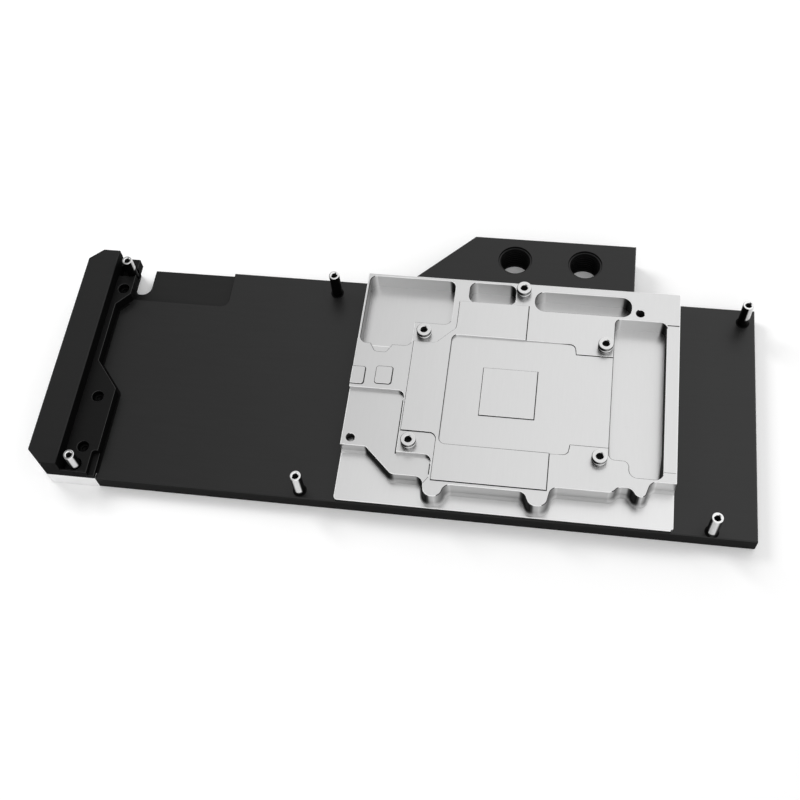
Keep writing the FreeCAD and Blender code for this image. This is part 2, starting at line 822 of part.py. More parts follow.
def endCover():
    body = newBody("end_cover", s.plate_thick)
    wall = s.cover_wall - s.cover_reach
    base = newSketch(body, "outline")
    outline(base, coverOutline([
        (-s.flange_far, s.plate_width), (-s.flange_far, s.plate_width - s.flange_far_start),
        (-s.flange_waist, s.plate_width - s.flange_waist_far), (-s.flange_waist, s.flange_waist_near),
        (0, s.flange_near_end, s.flange_radius), (0, 0),
    ]))
    pad(body, base, s.flange_high)
    high = newSketch(body, "wall", s.flange_high)
    outline(high, coverOutline([(wall, s.plate_width), (wall, 0)]))
    pad(body, high, s.cover_high - s.flange_high)
    top = (s.plate_thick + s.cover_high).value
    bevel(body, s.cover_edge, lambda edge: onLevel(edge, top))

    channel = newSketch(body, "channel")
    rectangle(channel, -s.cover_reach + s.channel_wall, s.channel_end, wall - s.channel_wall,
              s.plate_width - s.channel_end, s.channel_radius)
    pocket(body, channel, s.cover_high - s.channel_top, upwards=True)

    clear = s.post_radius + s.post_clear
    posts = newSketch(body, "post_pockets", s.flange_high)
    for y in (s.row_near, rowFarY):
        outline(posts, [
            (wall, y - clear), (clear - s.post_end_x, y - clear, s.post_pocket_radius),
            (clear - s.post_end_x, y + clear, s.post_pocket_radius), (wall, y + clear),
        ])
    pocket(body, posts, s.flange_high - s.post_floor)
    relief = newSketch(body, "relief", s.flange_high)
    outline(relief, [
        (-s.relief_width, -over), (over, -over), (over, s.relief_length),
        (-s.relief_width, s.relief_length, s.relief_radius),
    ])
    pocket(body, relief, s.relief_depth)
    wells = newSketch(body, "screw_wells", s.flange_high)
    shanks = newSketch(body, "screw_holes", s.flange_high)
    for x, y in coverScrews().values():
        circle(wells, x, y, s.cover_well_radius)
        circle(shanks, x, y, s.cover_screw_radius + s.screw_play)
    pocket(body, wells, s.cover_well_depth)
    pocket(body, shanks, s.flange_high)


def endDiffuser():
    body = newBody("end_diffuser", 0)
    base = newSketch(body, "outline")
    outline(base, coverOutline([
        (-s.tongue_reach, s.plate_width), (-s.tongue_reach, s.tongue_near), (0, s.tongue_near), (0, 0),
    ]))
    pad(body, base, s.plate_thick)
    thread = newSketch(body, "cover_thread", s.plate_thick)
    circle(thread, -s.cover_screw_x, s.cover_screw_near_a, s.cover_screw_radius + s.thread_play)
    pocket(body, thread, s.cover_screw_bite + s.thread_play)


def lightStrip():
    # A narrow circuit strip under the roof of the channel, with square lamps facing the diffuser
    body = newBody("light_strip", s.plate_thick + s.cover_high - s.channel_top - s.strip_thick)
    middle = s.cover_wall / 2 - s.cover_reach
    strip = newSketch(body, "strip")
    rectangle(strip, middle - s.strip_width / 2, s.channel_end + s.strip_gap, middle + s.strip_width / 2,
              s.plate_width - s.channel_end - s.strip_gap)
    pad(body, strip, s.strip_thick)
    lamp = newSketch(body, "lamp")
    first = s.channel_end + s.lamp_start
    rectangle(lamp, middle - s.lamp_side / 2, first, middle + s.lamp_side / 2, first + s.lamp_side)
    square = pad(body, lamp, s.lamp_high, downwards=True)
    row = body.newObject("PartDesign::LinearPattern", "light_strip_lamps")
    row.Originals = [square]
    row.Direction = (lamp, ["V_Axis"])
    row.Mode = "Spacing"
    bind(row, "Offset", s.lamp_pitch)
    room = s.plate_width - s.channel_end - s.strip_gap - first - s.lamp_side
    row.Occurrences = int(room.value // s.lamp_pitch.value) + 1
    body.Tip = row
    doc.recompute()


def platePosts():
    # Middles of the tall standoffs that stand on the top plate's level
    return {
        "standoff_end_near": (-s.post_end_x, s.row_near),
        "standoff_end_far": (-s.post_end_x, rowFarY),
        "standoff_middle_near": (coldLeft - s.post_middle_gap, s.row_near),
        "standoff_middle_far": (coldLeft - s.post_middle_gap, rowFarY),
        "standoff_right_near": (s.plate_length - s.post_right_near_x, s.post_right_near_y),
        "standoff_right_far": (s.plate_length - s.post_right_far_x, rowFarY),
    }


def bosses():
    # Middles of the short standoffs on the cold plate
    return {
        "gpu_standoff_near_left": (boltLeft, boltNear),
        "gpu_standoff_near_right": (boltRight, boltNear),
        "gpu_standoff_far_left": (boltLeft, boltFar),
        "gpu_standoff_far_right": (boltRight, boltFar),
        "port_standoff": (bossPortX, coldFar - s.boss_port_y),
    }


def cardThreads():
    return [
        (coldRight - s.thread_far_x, coldFar - s.thread_far_y),
        (coldLeft + s.thread_near_x, s.thread_near_y),
    ]


def coverScrews():
    return {
        "cover_screw_near": (-s.cover_screw_x, s.cover_screw_near_a),
        "cover_screw_middle": (-s.cover_screw_x, s.cover_screw_near_b),
        "cover_screw_far": (-s.cover_screw_far_x, s.plate_width - s.cover_screw_far_y),
    }


def standoff(label, x, y, level, radius, height, bore, depth):
    # A turned sleeve, threaded inside for the card's screw
    body = newBody(label, level, x, y)
    shaft = newSketch(body, "shaft")
    circle(shaft, 0, 0, radius)
    pad(body, shaft, height)
    hole = newSketch(body, "bore", height)
    circle(hole, 0, 0, bore)
    pocket(body, hole, depth)


def screw(label, x, y, level, radius, headRadius, headHigh, length):
    # A cap screw, head up, with a hexagonal key socket; the level is the underside of its head
    body = newBody(label, level, x, y)
    head = newSketch(body, "head")
    circle(head, 0, 0, headRadius)
    pad(body, head, headHigh)
    shank = newSketch(body, "shank")
    circle(shank, 0, 0, radius)
    pad(body, shank, length, downwards=True)
    key = newSketch(body, "key", headHigh)
    hexagon(key, 0, 0, s.screw_key)
    pocket(body, key, s.screw_key_depth)


topPlate()
mainSeal()
jetPlate()
coldPlate()
terminal()
portSeal("inlet_seal", portX)
portSeal("outlet_seal", outletX)
endCover()
endDiffuser()
lightStrip()
for name, (x, y) in platePosts().items():
    foot = s.post_floor if name.startswith("standoff_end") else size(0)
    standoff(name, x, y, s.plate_thick + foot, s.post_radius, s.post_high - foot, s.post_bore, s.post_bore_depth)
bossHigh = s.post_high - s.cold_thick
for name, (x, y) in bosses().items():
    standoff(name, x, y, s.plate_thick + s.cold_thick, s.boss_radius, bossHigh, s.boss_bore, bossHigh)
for name, (x, y) in coverScrews().items():
    level = s.plate_thick + s.flange_high - s.cover_well_depth
    grip = s.flange_high - s.cover_well_depth + s.cover_screw_bite
    screw(name, x, y, level, s.cover_screw_radius, s.cover_screw_head, s.cover_screw_head_high, grip)
doc.recompute()

# Every object must be sound before anything is written
for thing in doc.Objects:
    if "Invalid" in thing.State or "Error" in thing.State:
        raise RuntimeError(f"{thing.Name} failed: {thing.State}")
nodes = [thing for thing in doc.Objects if thing.TypeId == "PartDesign::Body"]
nodes += [thing for thing in doc.Objects if thing.TypeId == "Part::Feature"]
for node in nodes:
    if node.Shape.isNull() or not node.Shape.isValid():
        raise RuntimeError(f"{node.Label} has no sound shape")
os.makedirs("parts", exist_ok=True)
for node in nodes:
    node.Shape.exportStep(f"parts/{node.Label}.step")
print(f"{len(nodes)} sub-parts written")
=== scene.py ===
import json
import math
import bmesh
import bpy
import numpy as np
from mathutils import Matrix, Vector


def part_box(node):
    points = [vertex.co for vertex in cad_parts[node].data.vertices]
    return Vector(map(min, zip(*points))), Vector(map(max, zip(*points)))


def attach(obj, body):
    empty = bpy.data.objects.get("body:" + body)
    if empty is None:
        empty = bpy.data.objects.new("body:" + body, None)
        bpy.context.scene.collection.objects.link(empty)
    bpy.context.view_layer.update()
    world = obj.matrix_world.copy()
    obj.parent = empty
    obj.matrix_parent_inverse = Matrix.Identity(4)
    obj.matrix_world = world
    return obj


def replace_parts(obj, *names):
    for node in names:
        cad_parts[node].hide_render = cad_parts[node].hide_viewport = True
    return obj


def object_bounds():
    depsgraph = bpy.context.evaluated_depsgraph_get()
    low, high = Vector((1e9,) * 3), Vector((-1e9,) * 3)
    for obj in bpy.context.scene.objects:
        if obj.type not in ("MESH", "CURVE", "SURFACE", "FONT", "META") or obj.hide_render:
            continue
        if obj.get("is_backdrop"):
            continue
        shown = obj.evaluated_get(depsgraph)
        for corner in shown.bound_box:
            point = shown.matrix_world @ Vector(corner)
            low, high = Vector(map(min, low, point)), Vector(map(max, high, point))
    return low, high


# Water block of a graphics card: finishes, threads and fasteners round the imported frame. Everything is in
# metres unless a note says mm; every new piece has its place in its mesh, and its object at the origin.
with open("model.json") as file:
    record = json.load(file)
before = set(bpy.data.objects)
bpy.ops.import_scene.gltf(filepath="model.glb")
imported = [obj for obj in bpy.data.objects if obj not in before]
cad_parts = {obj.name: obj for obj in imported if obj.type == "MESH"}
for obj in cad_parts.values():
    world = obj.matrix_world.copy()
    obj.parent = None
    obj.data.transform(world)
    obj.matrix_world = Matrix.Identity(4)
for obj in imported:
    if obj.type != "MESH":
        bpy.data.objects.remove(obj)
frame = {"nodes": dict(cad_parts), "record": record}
cadLow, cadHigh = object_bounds()
nodes = frame["nodes"]
mm = 0.001
print("frame loaded,", len(nodes), "nodes")


# Finishes
class Wire:
    # An output of a node tree; sums and products of wires add Math nodes
    def __init__(self, finish, socket):
        self.finish = finish
        self.socket = socket

    def math(self, operation, *values):
        return self.finish.node("ShaderNodeMath", {"operation": operation}, *values)

    def __add__(self, other):
        return self.math("ADD", self, other)

    def __radd__(self, other):
        return self.math("ADD", other, self)

    def __sub__(self, other):
        return self.math("SUBTRACT", self, other)

    def __rsub__(self, other):
        return self.math("SUBTRACT", other, self)

    def __mul__(self, other):
        return self.math("MULTIPLY", self, other)

    def __rmul__(self, other):
        return self.math("MULTIPLY", other, self)

    def out(self, name):
        return Wire(self.finish, self.socket.node.outputs[name])


class Finish:
    # A material, or another node tree that is given, and the one method that adds its nodes
    def __init__(self, name, tree=None):
        self.material = None
        if tree is None:
            self.material = bpy.data.materials.new(name)
            self.material.use_nodes = True
            tree = self.material.node_tree
        self.tree = tree
        tree.nodes.clear()

    def put(self, socket, value):
        # A wire is linked to the socket; three numbers on a colour socket get an alpha of 1
        if isinstance(value, Wire):
            self.tree.links.new(value.socket, socket)
        elif isinstance(value, tuple) and len(value) == 3 and socket.type == "RGBA":
            socket.default_value = value + (1.0,)
        else:
            socket.default_value = value

    def putStops(self, ramp, stops):
        # Grey stops, each a place and a tone; the first is at 0 and the last at 1, as on a new ramp
        for place, tone in stops[1:-1]:
            ramp.new(place).color = (tone, tone, tone, 1)
        for number, stop in ((0, stops[0]), (len(ramp) - 1, stops[-1])):
            ramp[number].color = (stop[1], stop[1], stop[1], 1)

    def node(self, kind, settings=None, *values, **named):
        # Settings first, then values in the order of the sockets, then named sockets
        item = self.tree.nodes.new(kind)
        for key, value in (settings or {}).items():
            if key == "stops":
                self.putStops(item.color_ramp.elements, value)
            else:
                setattr(item, key, value)
        for socket, value in zip(item.inputs, values):
            self.put(socket, value)
        for key, value in named.items():
            self.put(item.inputs[key.replace("_", " ")], value)
        return Wire(self, item.outputs[0]) if len(item.outputs) else None

    def place(self):
        return self.node("ShaderNodeTexCoord").out("Object")

    def stretched(self, x, y, z):
        # Object coordinates scaled on each axis, for grain that runs along one of them
        return self.node("ShaderNodeMapping", {}, Vector=self.place(), Scale=(x, y, z))

    def noise(self, vector, scale, detail=3.0, roughness=0.5):
        # Soft noise round a mean of 0.5
        return self.node("ShaderNodeTexNoise", {}, Vector=vector, Scale=scale, Detail=detail,
                         Roughness=roughness)

    def span(self, value, low, high, start=0.0, end=1.0):
        # value runs smoothly from start to end while it passes from low to high
        return self.node("ShaderNodeMapRange", {"interpolation_type": "SMOOTHSTEP"}, value, low, high, start,
                         end)

    def facing(self):
        # The normal's parts: how far a face looks along x, y and z
        normal = self.node("ShaderNodeNewGeometry").out("Normal")
        parts = self.node("ShaderNodeSeparateXYZ", {}, normal)
        return parts.out("X"), parts.out("Y"), parts.out("Z")

    def grey(self, tone):
        return self.node("ShaderNodeCombineColor", {}, tone, tone, tone)

    def bump(self, height, strength, distance):
        return self.node("ShaderNodeBump", {}, Height=height, Strength=strength, Distance=distance)

    def ramp(self, value, stops):
        # A tone for each value from 0 to 1, straight between the stops
        return self.node("ShaderNodeValToRGB", {"stops": stops}, value)

    def gloss(self, **sockets):
        return self.node("ShaderNodeBsdfPrincipled", {}, **sockets)

    def surface(self, shader, second=None, share=None):
        # One shader, or two that are mixed by share
        if second:
            shader = self.node("ShaderNodeMixShader", {}, share, shader, second)
        self.node("ShaderNodeOutputMaterial", {}, Surface=shader)
        return self.material


# Milled nickel: how far a slope is from upright, where the painted shade of walls sets in, how wide the
# changes of tone are in metres, and the dull surface of walls
milled = {"slope": (0.03, 0.12), "stain": (0.15, 0.55), "edge": 0.0003, "fade": 0.001, "rise": 0.0006,
          "roughDrift": 0.06, "bumpDistance": 0.00003,
          "dullTone": 0.6, "slopeTone": 0.12, "dullRough": 0.8, "dullGloss": 0.05}


def nickelFinish(name, look):
    # Nickel over milled copper: a fine satin face with faint cutter paths, and dull side walls. The tone is
    # the look's tone plus the noises' swing, on walls times a share that turns with the way they face, which
    # is painted reflection and shade
    f = Finish(name)
    x, _, z = f.facing()
    level = z.math("ABSOLUTE", z)
    wall = 1.0 - f.span(level, *look["level"])
    # slopes that are neither side nor level are dull too
    slope = f.span(level, *milled["slope"]) * wall * look["dullSlopes"]
    cloud = f.noise(f.place(), look["cloudScale"], detail=4.0, roughness=0.6)
    paths = f.noise(f.stretched(1.0, look["pathStretch"], 1.0), look["pathScale"], detail=2.0)
    pits = f.noise(f.place(), look["pitScale"], detail=2.0)
    grain = (cloud - 0.5) * look["cloudTone"] + (paths - 0.5) * look["pathTone"]
    # painted reflection and shade: a wall's tone is scaled by a share read from the way it faces along x, so
    # that walls facing one way keep most of the face's tone and the others are painted dark
    share = f.ramp(x * 0.5 + 0.5, look["walls"]) * look["wallTone"]
    across = f.node("ShaderNodeSeparateXYZ", {}, f.place())
    # the outer walls take the plain share outerWall in place of the painted one
    outside = 1.0 - f.span(across, look["left"], look["left"] + milled["edge"]) * f.span(
        across, look["right"] - milled["edge"], look["right"], 1.0, 0.0)
    share = share * (1.0 - outside) + outside * look["outerWall"]
    # painted shade: walls near the near side are dimmed by nearShare, and the outermost near face by
    # frontShare
    depth = across.out("Y")
    share = share * f.span(depth, look["near"], look["near"] + milled["fade"], look["nearShare"], 1.0)
    share = share * f.span(depth, look["front"], look["front"] + milled["edge"], look["frontShare"], 1.0)
    # painted light: the low flange is a little brighter than the rest
    flange = f.span(depth, look["flangeDeep"], look["flangeDeep"] + milled["fade"], look["flangeGain"], 0.0)
    flange = 1.0 + flange * f.span(across.out("Z"), look["flange"], look["flange"] + milled["rise"], 1.0, 0.0)
    tone = (look["tone"] * flange + grain) * (1.0 - wall + wall * share)
    # walls with a low share turn to the dull dark shader: painted shade
    stained = slope.math("MAXIMUM", slope, wall * f.span(share, *milled["stain"], 1.0, 0.0))
    rough = look["rough"] + (cloud - 0.5) * milled["roughDrift"]
    bump = f.bump(paths * 0.5 + pits * 0.5, look["bump"], milled["bumpDistance"])
    face = f.gloss(Base_Color=f.grey(tone), Metallic=1.0, Roughness=rough, Normal=bump)
    dullTone = share * (milled["dullTone"] + slope * milled["slopeTone"])
    dull = f.gloss(Base_Color=f.grey(dullTone), Metallic=0.0, Roughness=milled["dullRough"],
                   Specular_IOR_Level=milled["dullGloss"], Normal=bump)
    return f.surface(face, dull, stained)


def postFinish(name, look, turn, start, end, foot):
    # Bright turned nickel whose side is matt with a painted reflection: lit from start to end across the side
    # as seen from the angle turn, down to the height foot in mm, and painted dark round the rest
    f = Finish(name)
    x, y, z = f.facing()
    wall = 1.0 - f.span(z.math("ABSOLUTE", z), *look["level"])
    height = f.node("ShaderNodeSeparateXYZ", {}, f.place()).out("Z")
    across = x * math.cos(math.radians(turn)) + y * math.sin(math.radians(turn))
    place = across * 0.5 + 0.5
    (before, after), (sooner, later) = look["litStart"], look["litEnd"]
    lit = f.span(place, start - before, start + after) * f.span(place, end - sooner, end + later, 1.0, 0.0)
    share = lit * f.span(height, foot * mm, (foot + look["footFade"]) * mm)
    smear = f.noise(f.place(), look["smearScale"], roughness=0.6)
    rings = f.noise(f.stretched(1.0, 1.0, look["ringStretch"]), look["ringScale"], detail=2.0)
    tone = look["tone"] + (smear - 0.5) * look["smear"]
    bump = f.bump(rings, look["bump"], look["bumpDistance"])
    bright = f.gloss(Base_Color=f.grey(tone), Metallic=1.0,
                     Roughness=look["rough"] + (smear - 0.5) * look["roughDrift"], Normal=bump)
    side = f.gloss(Base_Color=f.grey(tone * share * look["side"]), Metallic=0.0, Roughness=look["sideRough"],
                   Specular_IOR_Level=look["sideGloss"], Normal=bump)
    return f.surface(bright, side, wall)


def edgeFinish(name, look):
    # The narrow broken edges: a painted highlight, a little uneven along their length
    f = Finish(name)
    wear = f.noise(f.place(), look["wearScale"], roughness=0.6)
    tone = look["tone"] + (wear - 0.5) * look["wearTone"]
    return f.surface(f.gloss(Base_Color=f.grey(tone), Metallic=0.0,
                             Roughness=look["rough"] + (wear - 0.5) * look["roughDrift"],
                             Normal=f.bump(wear, look["bump"], look["bumpDistance"])))


def shadeFinish(name, look):
    # Painted shade for the inside of deep threaded holes and for narrow feet and corners: a near-black matt
    # tone with a soft noise
    f = Finish(name)
    stain = f.noise(f.place(), look["stainScale"], roughness=0.6)
    tone = look["tone"] * (look["cleanest"] + stain * look["stain"])
    return f.surface(f.gloss(Base_Color=f.grey(tone), Metallic=0.0,
                             Roughness=look["rough"] + (stain - 0.5) * look["roughDrift"],
                             Specular_IOR_Level=look["gloss"],
                             Normal=f.bump(stain, look["bump"], look["bumpDistance"])))


def polishedFinish(name, look):
    # Bright turned nickel with fine rings from the tool and a few soft smears
    f = Finish(name)
    smear = f.noise(f.place(), look["smearScale"], roughness=0.6)
    rings = f.noise(f.stretched(1.0, 1.0, look["ringStretch"]), look["ringScale"], detail=2.0)
    tone = look["tone"] + (smear - 0.5) * look["smear"]
    rough = look["rough"] + (smear - 0.5) * look["roughDrift"]
    return f.surface(f.gloss(Base_Color=f.grey(tone), Metallic=1.0, Roughness=rough,
                             Normal=f.bump(rings, look["bump"], look["bumpDistance"])))


# What all the black finishes share: the normal's height at which a side turns matt, the fade above low
# steps in metres, the grain's stretch along x, and how far clouds, streaks and specks change tone and gloss
satin = {"matt": (0.5, 0.8), "lowFade": 0.0004, "streakStretch": 0.06, "cloudScale": 22.0,
         "cloudTone": 0.25, "roughStreak": 0.10, "roughSpeck": 0.08, "bumpSpeck": 0.7, "bumpStreak": 0.3,
         "bumpDistance": 0.00003, "mattRough": 0.25, "mattGloss": 0.06}


def blackFinish(name, look):
    # Black acetal or painted metal: satin on its broad faces, with a very faint grain along x and small
    # specks in the gloss; the sawn sides and the low steps below lowStep are matt, and their tone is cut by
    # mattTone, which on the sides and low steps is painted shade
    f = Finish(name)
    _, _, z = f.facing()
    matt = 1.0 - f.span(z.math("ABSOLUTE", z), *satin["matt"])
    height = f.node("ShaderNodeSeparateXYZ", {}, f.place()).out("Z")
    low = 1.0 - f.span(height, look["lowStep"], look["lowStep"] + satin["lowFade"])
    matt = matt.math("MAXIMUM", matt, low * look["lowMatt"])
    streak = f.noise(f.stretched(satin["streakStretch"], 1.0, 1.0), look["streakScale"], detail=4.0,
                     roughness=0.6)
    speck = f.noise(f.place(), look["speckScale"], detail=2.0)
    cloud = f.noise(f.place(), satin["cloudScale"])
    swing = 1.0 + (streak - 0.5) * look["streakTone"] + (cloud - 0.5) * satin["cloudTone"]
    tone = look["tone"] * swing
    rough = look["rough"] + (streak - 0.5) * satin["roughStreak"] + (speck - 0.5) * satin["roughSpeck"]
    height = speck * satin["bumpSpeck"] + streak * satin["bumpStreak"]
    bump = f.bump(height, look["bump"], satin["bumpDistance"])
    face = f.gloss(Base_Color=f.grey(tone), Metallic=0.0, Roughness=rough, IOR=look["ior"], Normal=bump)
    dull = f.gloss(Base_Color=f.grey(tone * look["mattTone"]), Metallic=0.0,
                   Roughness=rough + satin["mattRough"], IOR=look["ior"],
                   Specular_IOR_Level=satin["mattGloss"], Normal=bump)
    return f.surface(face, dull, matt)


def acrylicFinish(name, look):
    # Frosted white acrylic, sawn at its edge: almost even, with faint saw lines and slight clouding
    f = Finish(name)
    cloud = f.noise(f.place(), look["cloudScale"])
    saw = f.noise(f.stretched(1.0, 1.0, look["sawStretch"]), look["sawScale"], detail=2.0)
    tone = look["tone"] + (cloud - 0.5) * look["cloudTone"] + (saw - 0.5) * look["sawTone"]
    rough = look["rough"] + (cloud - 0.5) * look["roughDrift"]
    return f.surface(f.gloss(Base_Color=f.grey(tone), Metallic=0.0, Roughness=rough, IOR=look["ior"],
                             Normal=f.bump(saw, look["bump"], look["bumpDistance"])))


def mottledFinish(name, look):
    # The lacquer of the circuit strip and the moulded grain of rubber: one fine noise drives tone, gloss
    # and bump
    f = Finish(name)
    grain = f.noise(f.place(), look["grainScale"], roughness=look["grainRough"])
    tone = look["tone"] + (grain - 0.5) * look["grainTone"]
    return f.surface(f.gloss(Base_Color=f.grey(tone), Metallic=0.0,
                             Roughness=look["rough"] + (grain - 0.5) * look["roughDrift"],
                             Normal=f.bump(grain, look["bump"], look["bumpDistance"])))


coldLow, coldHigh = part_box("cold_plate")
# what most black pieces share
grain = {"streakScale": 900.0, "streakTone": 0.3, "speckScale": 3200.0, "bump": 0.3}
looks = {
    "coldPlate": {"tone": 0.715, "rough": 0.30, "cloudScale": 35.0, "cloudTone": 0.02, "pathStretch": 0.08,
                  "pathScale": 1500.0, "pathTone": 0.03, "pitScale": 3500.0, "bump": 0.2,
                  "outerWall": 0.8, "wallTone": 1.3, "near": coldLow.y + 0.013, "nearShare": 0.8,
                  "front": coldLow.y + 0.0002, "frontShare": 0.04,
                  "left": coldLow.x + 0.0002, "right": coldHigh.x - 0.0002,
                  "level": (0.985, 0.9998), "dullSlopes": 0.9,
                  "flange": coldLow.z + 0.0023, "flangeGain": 0.13, "flangeDeep": coldLow.y + 0.019,
                  # painted reflection and shade: share for a side wall, from one that faces -x at 0 to one
                  # that faces +x at 1
                  "walls": [(0.0, 0.05), (0.22, 0.01), (0.34, 0.12), (0.43, 0.5), (0.5, 0.68), (0.56, 0.82),
                            (0.64, 0.72), (0.74, 0.5), (0.84, 0.36), (0.93, 0.30), (1.0, 0.27)]},
    # these have no outline or flange, so those limits lie outside the part
    "shortPosts": {"tone": 0.72, "rough": 0.22, "cloudScale": 300.0, "cloudTone": 0.06, "pathStretch": 1.0,
                   "pathScale": 2500.0, "pathTone": 0.08, "pitScale": 3500.0, "bump": 0.3, "outerWall": 0.4,
                   "left": -1.0, "right": 1.0, "wallTone": 1.0, "near": -1.0, "nearShare": 1.0,
                   "front": -1.0, "frontShare": 1.0, "level": (0.15, 0.45), "dullSlopes": 0.0,
                   "flange": -1.0, "flangeGain": 0.0, "flangeDeep": -1.0,
                   # painted reflection and shade: share for a side by the way it faces, as on the cold plate
                   "walls": [(0.0, 0.004), (0.3, 0.01), (0.42, 0.06), (0.5, 0.25), (0.6, 0.45), (0.8, 0.35),
                             (1.0, 0.08)]},
    # litStart and litEnd: how far before and after its place the light sets in and ends
    "posts": {"tone": 0.88, "rough": 0.10, "roughDrift": 0.05, "smear": 0.12, "smearScale": 500.0,
              "ringScale": 300.0, "ringStretch": 12.0, "bump": 0.2, "bumpDistance": 0.00002,
              "level": (0.15, 0.45), "litStart": (0.05, 0.08), "litEnd": (0.1, 0.05), "footFade": 0.9,
              "side": 0.85, "sideRough": 0.5, "sideGloss": 0.1},
    "edges": {"tone": 1.0, "wearScale": 500.0, "wearTone": 0.1, "rough": 0.3, "roughDrift": 0.2, "bump": 0.2,
              "bumpDistance": 0.00002},
    "stained": {"tone": 0.012, "cleanest": 0.6, "stain": 0.8, "stainScale": 900.0, "rough": 0.6,
                "roughDrift": 0.2, "gloss": 0.2, "bump": 0.3, "bumpDistance": 0.00003},
    "sheet": {"tone": 0.55, "rough": 0.25, "roughDrift": 0.05, "smear": 0.06, "smearScale": 260.0,
              "ringScale": 220.0, "ringStretch": 60.0, "bump": 0.2, "bumpDistance": 0.00002},
    "plate": {"tone": 0.009, "rough": 0.36, "ior": 1.47, "streakScale": 700.0, "streakTone": 0.5,
              "speckScale": 2600.0, "bump": 0.25, "lowStep": 0.0066, "lowMatt": 0.28, "mattTone": 0.6},
    "cover": {**grain, "tone": 0.0075, "rough": 0.44, "ior": 1.415, "lowStep": 0.0125, "lowMatt": 0.5,
              "mattTone": 0.25},
    "screws": {**grain, "tone": 0.002, "rough": 0.32, "ior": 1.4, "speckScale": 3000.0, "bump": 0.2,
               "lowStep": 0.0125, "lowMatt": 0.9, "mattTone": 0.8},
    # a painted highlight for edges that would catch the light, and painted shade for edges, rings and foot
    # lines that would stay in the shade: matt all over
    "blackEdges": {**grain, "tone": 0.032, "rough": 0.40, "ior": 1.44, "lowStep": -1.0, "lowMatt": 0.0,
                   "mattTone": 0.9},
    "shadedEdges": {**grain, "tone": 0.004, "rough": 0.40, "ior": 1.44, "lowStep": 1.0, "lowMatt": 1.0,
                    "mattTone": 1.0},
    "diffuser": {"tone": 0.97, "rough": 0.42, "roughDrift": 0.08, "ior": 1.49, "cloudScale": 60.0,
                 "cloudTone": 0.03, "sawScale": 900.0, "sawStretch": 0.05, "sawTone": 0.02, "bump": 0.25,
                 "bumpDistance": 0.00003},
    "strip": {"tone": 0.72, "grainTone": 0.08, "grainScale": 400.0, "grainRough": 0.5, "rough": 0.45,
              "roughDrift": 0.1, "bump": 0.2, "bumpDistance": 0.00002},
    "seals": {"tone": 0.018, "grainTone": 0.008, "grainScale": 1800.0, "grainRough": 0.6, "rough": 0.72,
              "roughDrift": 0.15, "bump": 0.4, "bumpDistance": 0.00004},
}
# the terminal is a little darker and duller than the plate, and has no low steps
looks["terminal"] = {**looks["plate"], "tone": 0.008, "ior": 1.44, "lowMatt": 0.0}
coldNickel = nickelFinish("coldNickel", looks["coldPlate"])
edgeNickel = edgeFinish("edgeNickel", looks["edges"])
boreDark = shadeFinish("boreDark", looks["stained"])
cornerDark = shadeFinish("cornerDark", looks["stained"])
# for each tall standoff's painted reflection: the angle its lit part is seen from, where that starts and ends
# across the side, from 0 at the left to 1 at the right, and its lower end in mm, below which the side is
# painted dark
litSides = {
    "standoff_end_near": (45, 0.18, 0.68, 12.0), "standoff_middle_near": (27, 0.12, 0.66, 8.7),
    "standoff_right_near": (-20, 0.24, 0.82, 8.7), "standoff_right_far": (-16, 0.66, 1.2, 11.3),
    "standoff_end_far": (34, 0.75, 1.2, 13.6), "standoff_middle_far": (12, 1.2, 1.4, 8.0),
}
postNickel = {name: postFinish(name + "_nickel", looks["posts"], *side) for name, side in litSides.items()}
shortPostNickel = nickelFinish("shortPostNickel", looks["shortPosts"])
sheetSteel = polishedFinish("sheetSteel", looks["sheet"])
plateBlack = blackFinish("plateBlack", looks["plate"])
terminalBlack = blackFinish("terminalBlack", looks["terminal"])
coverBlack = blackFinish("coverBlack", looks["cover"])
screwBlack = blackFinish("screwBlack", looks["screws"])
edgeBlack = blackFinish("edgeBlack", looks["blackEdges"])
edgeShade = blackFinish("edgeShade", looks["shadedEdges"])
diffuserWhite = acrylicFinish("diffuserWhite", looks["diffuser"])
stripWhite = mottledFinish("stripWhite", looks["strip"])
sealBlack = mottledFinish("sealBlack", looks["seals"])
print("finishes made")


# Surfaces: distances in metres below which points are one, angles in degrees, and the normal's height that
# parts a side wall from a level face or slope
meshing = {"doubles": 2e-7, "degenerate": 1e-7, "merge": 1e-6, "flat": 0.5, "sharp": 35.0, "wall": 0.3}
# turns a form whose top points up, so that it points down or to the far side
turnTo = {"up": Matrix.Identity(3), "down": Matrix.Rotation(math.pi, 3, "X"),
          "far": Matrix.Rotation(-math.pi / 2, 3, "X")}


def closedMesh(name, points, faces, slots=None):
    # A mesh from points and faces, with each face's slot; doubled points at seams and poles are merged, and
    # the normals are made to face outwards
    mesh = bpy.data.meshes.new(name)
    mesh.from_pydata(points.tolist(), [], faces.tolist())
    if slots is not None:
        mesh.polygons.foreach_set("material_index", slots.astype(np.int32))
    work = bmesh.new()
    work.from_mesh(mesh)
    bmesh.ops.remove_doubles(work, verts=work.verts, dist=meshing["doubles"])
    bmesh.ops.dissolve_degenerate(work, edges=work.edges, dist=meshing["degenerate"])
    bmesh.ops.recalc_face_normals(work, faces=work.faces)
    work.to_mesh(mesh)
    work.free()
    return mesh


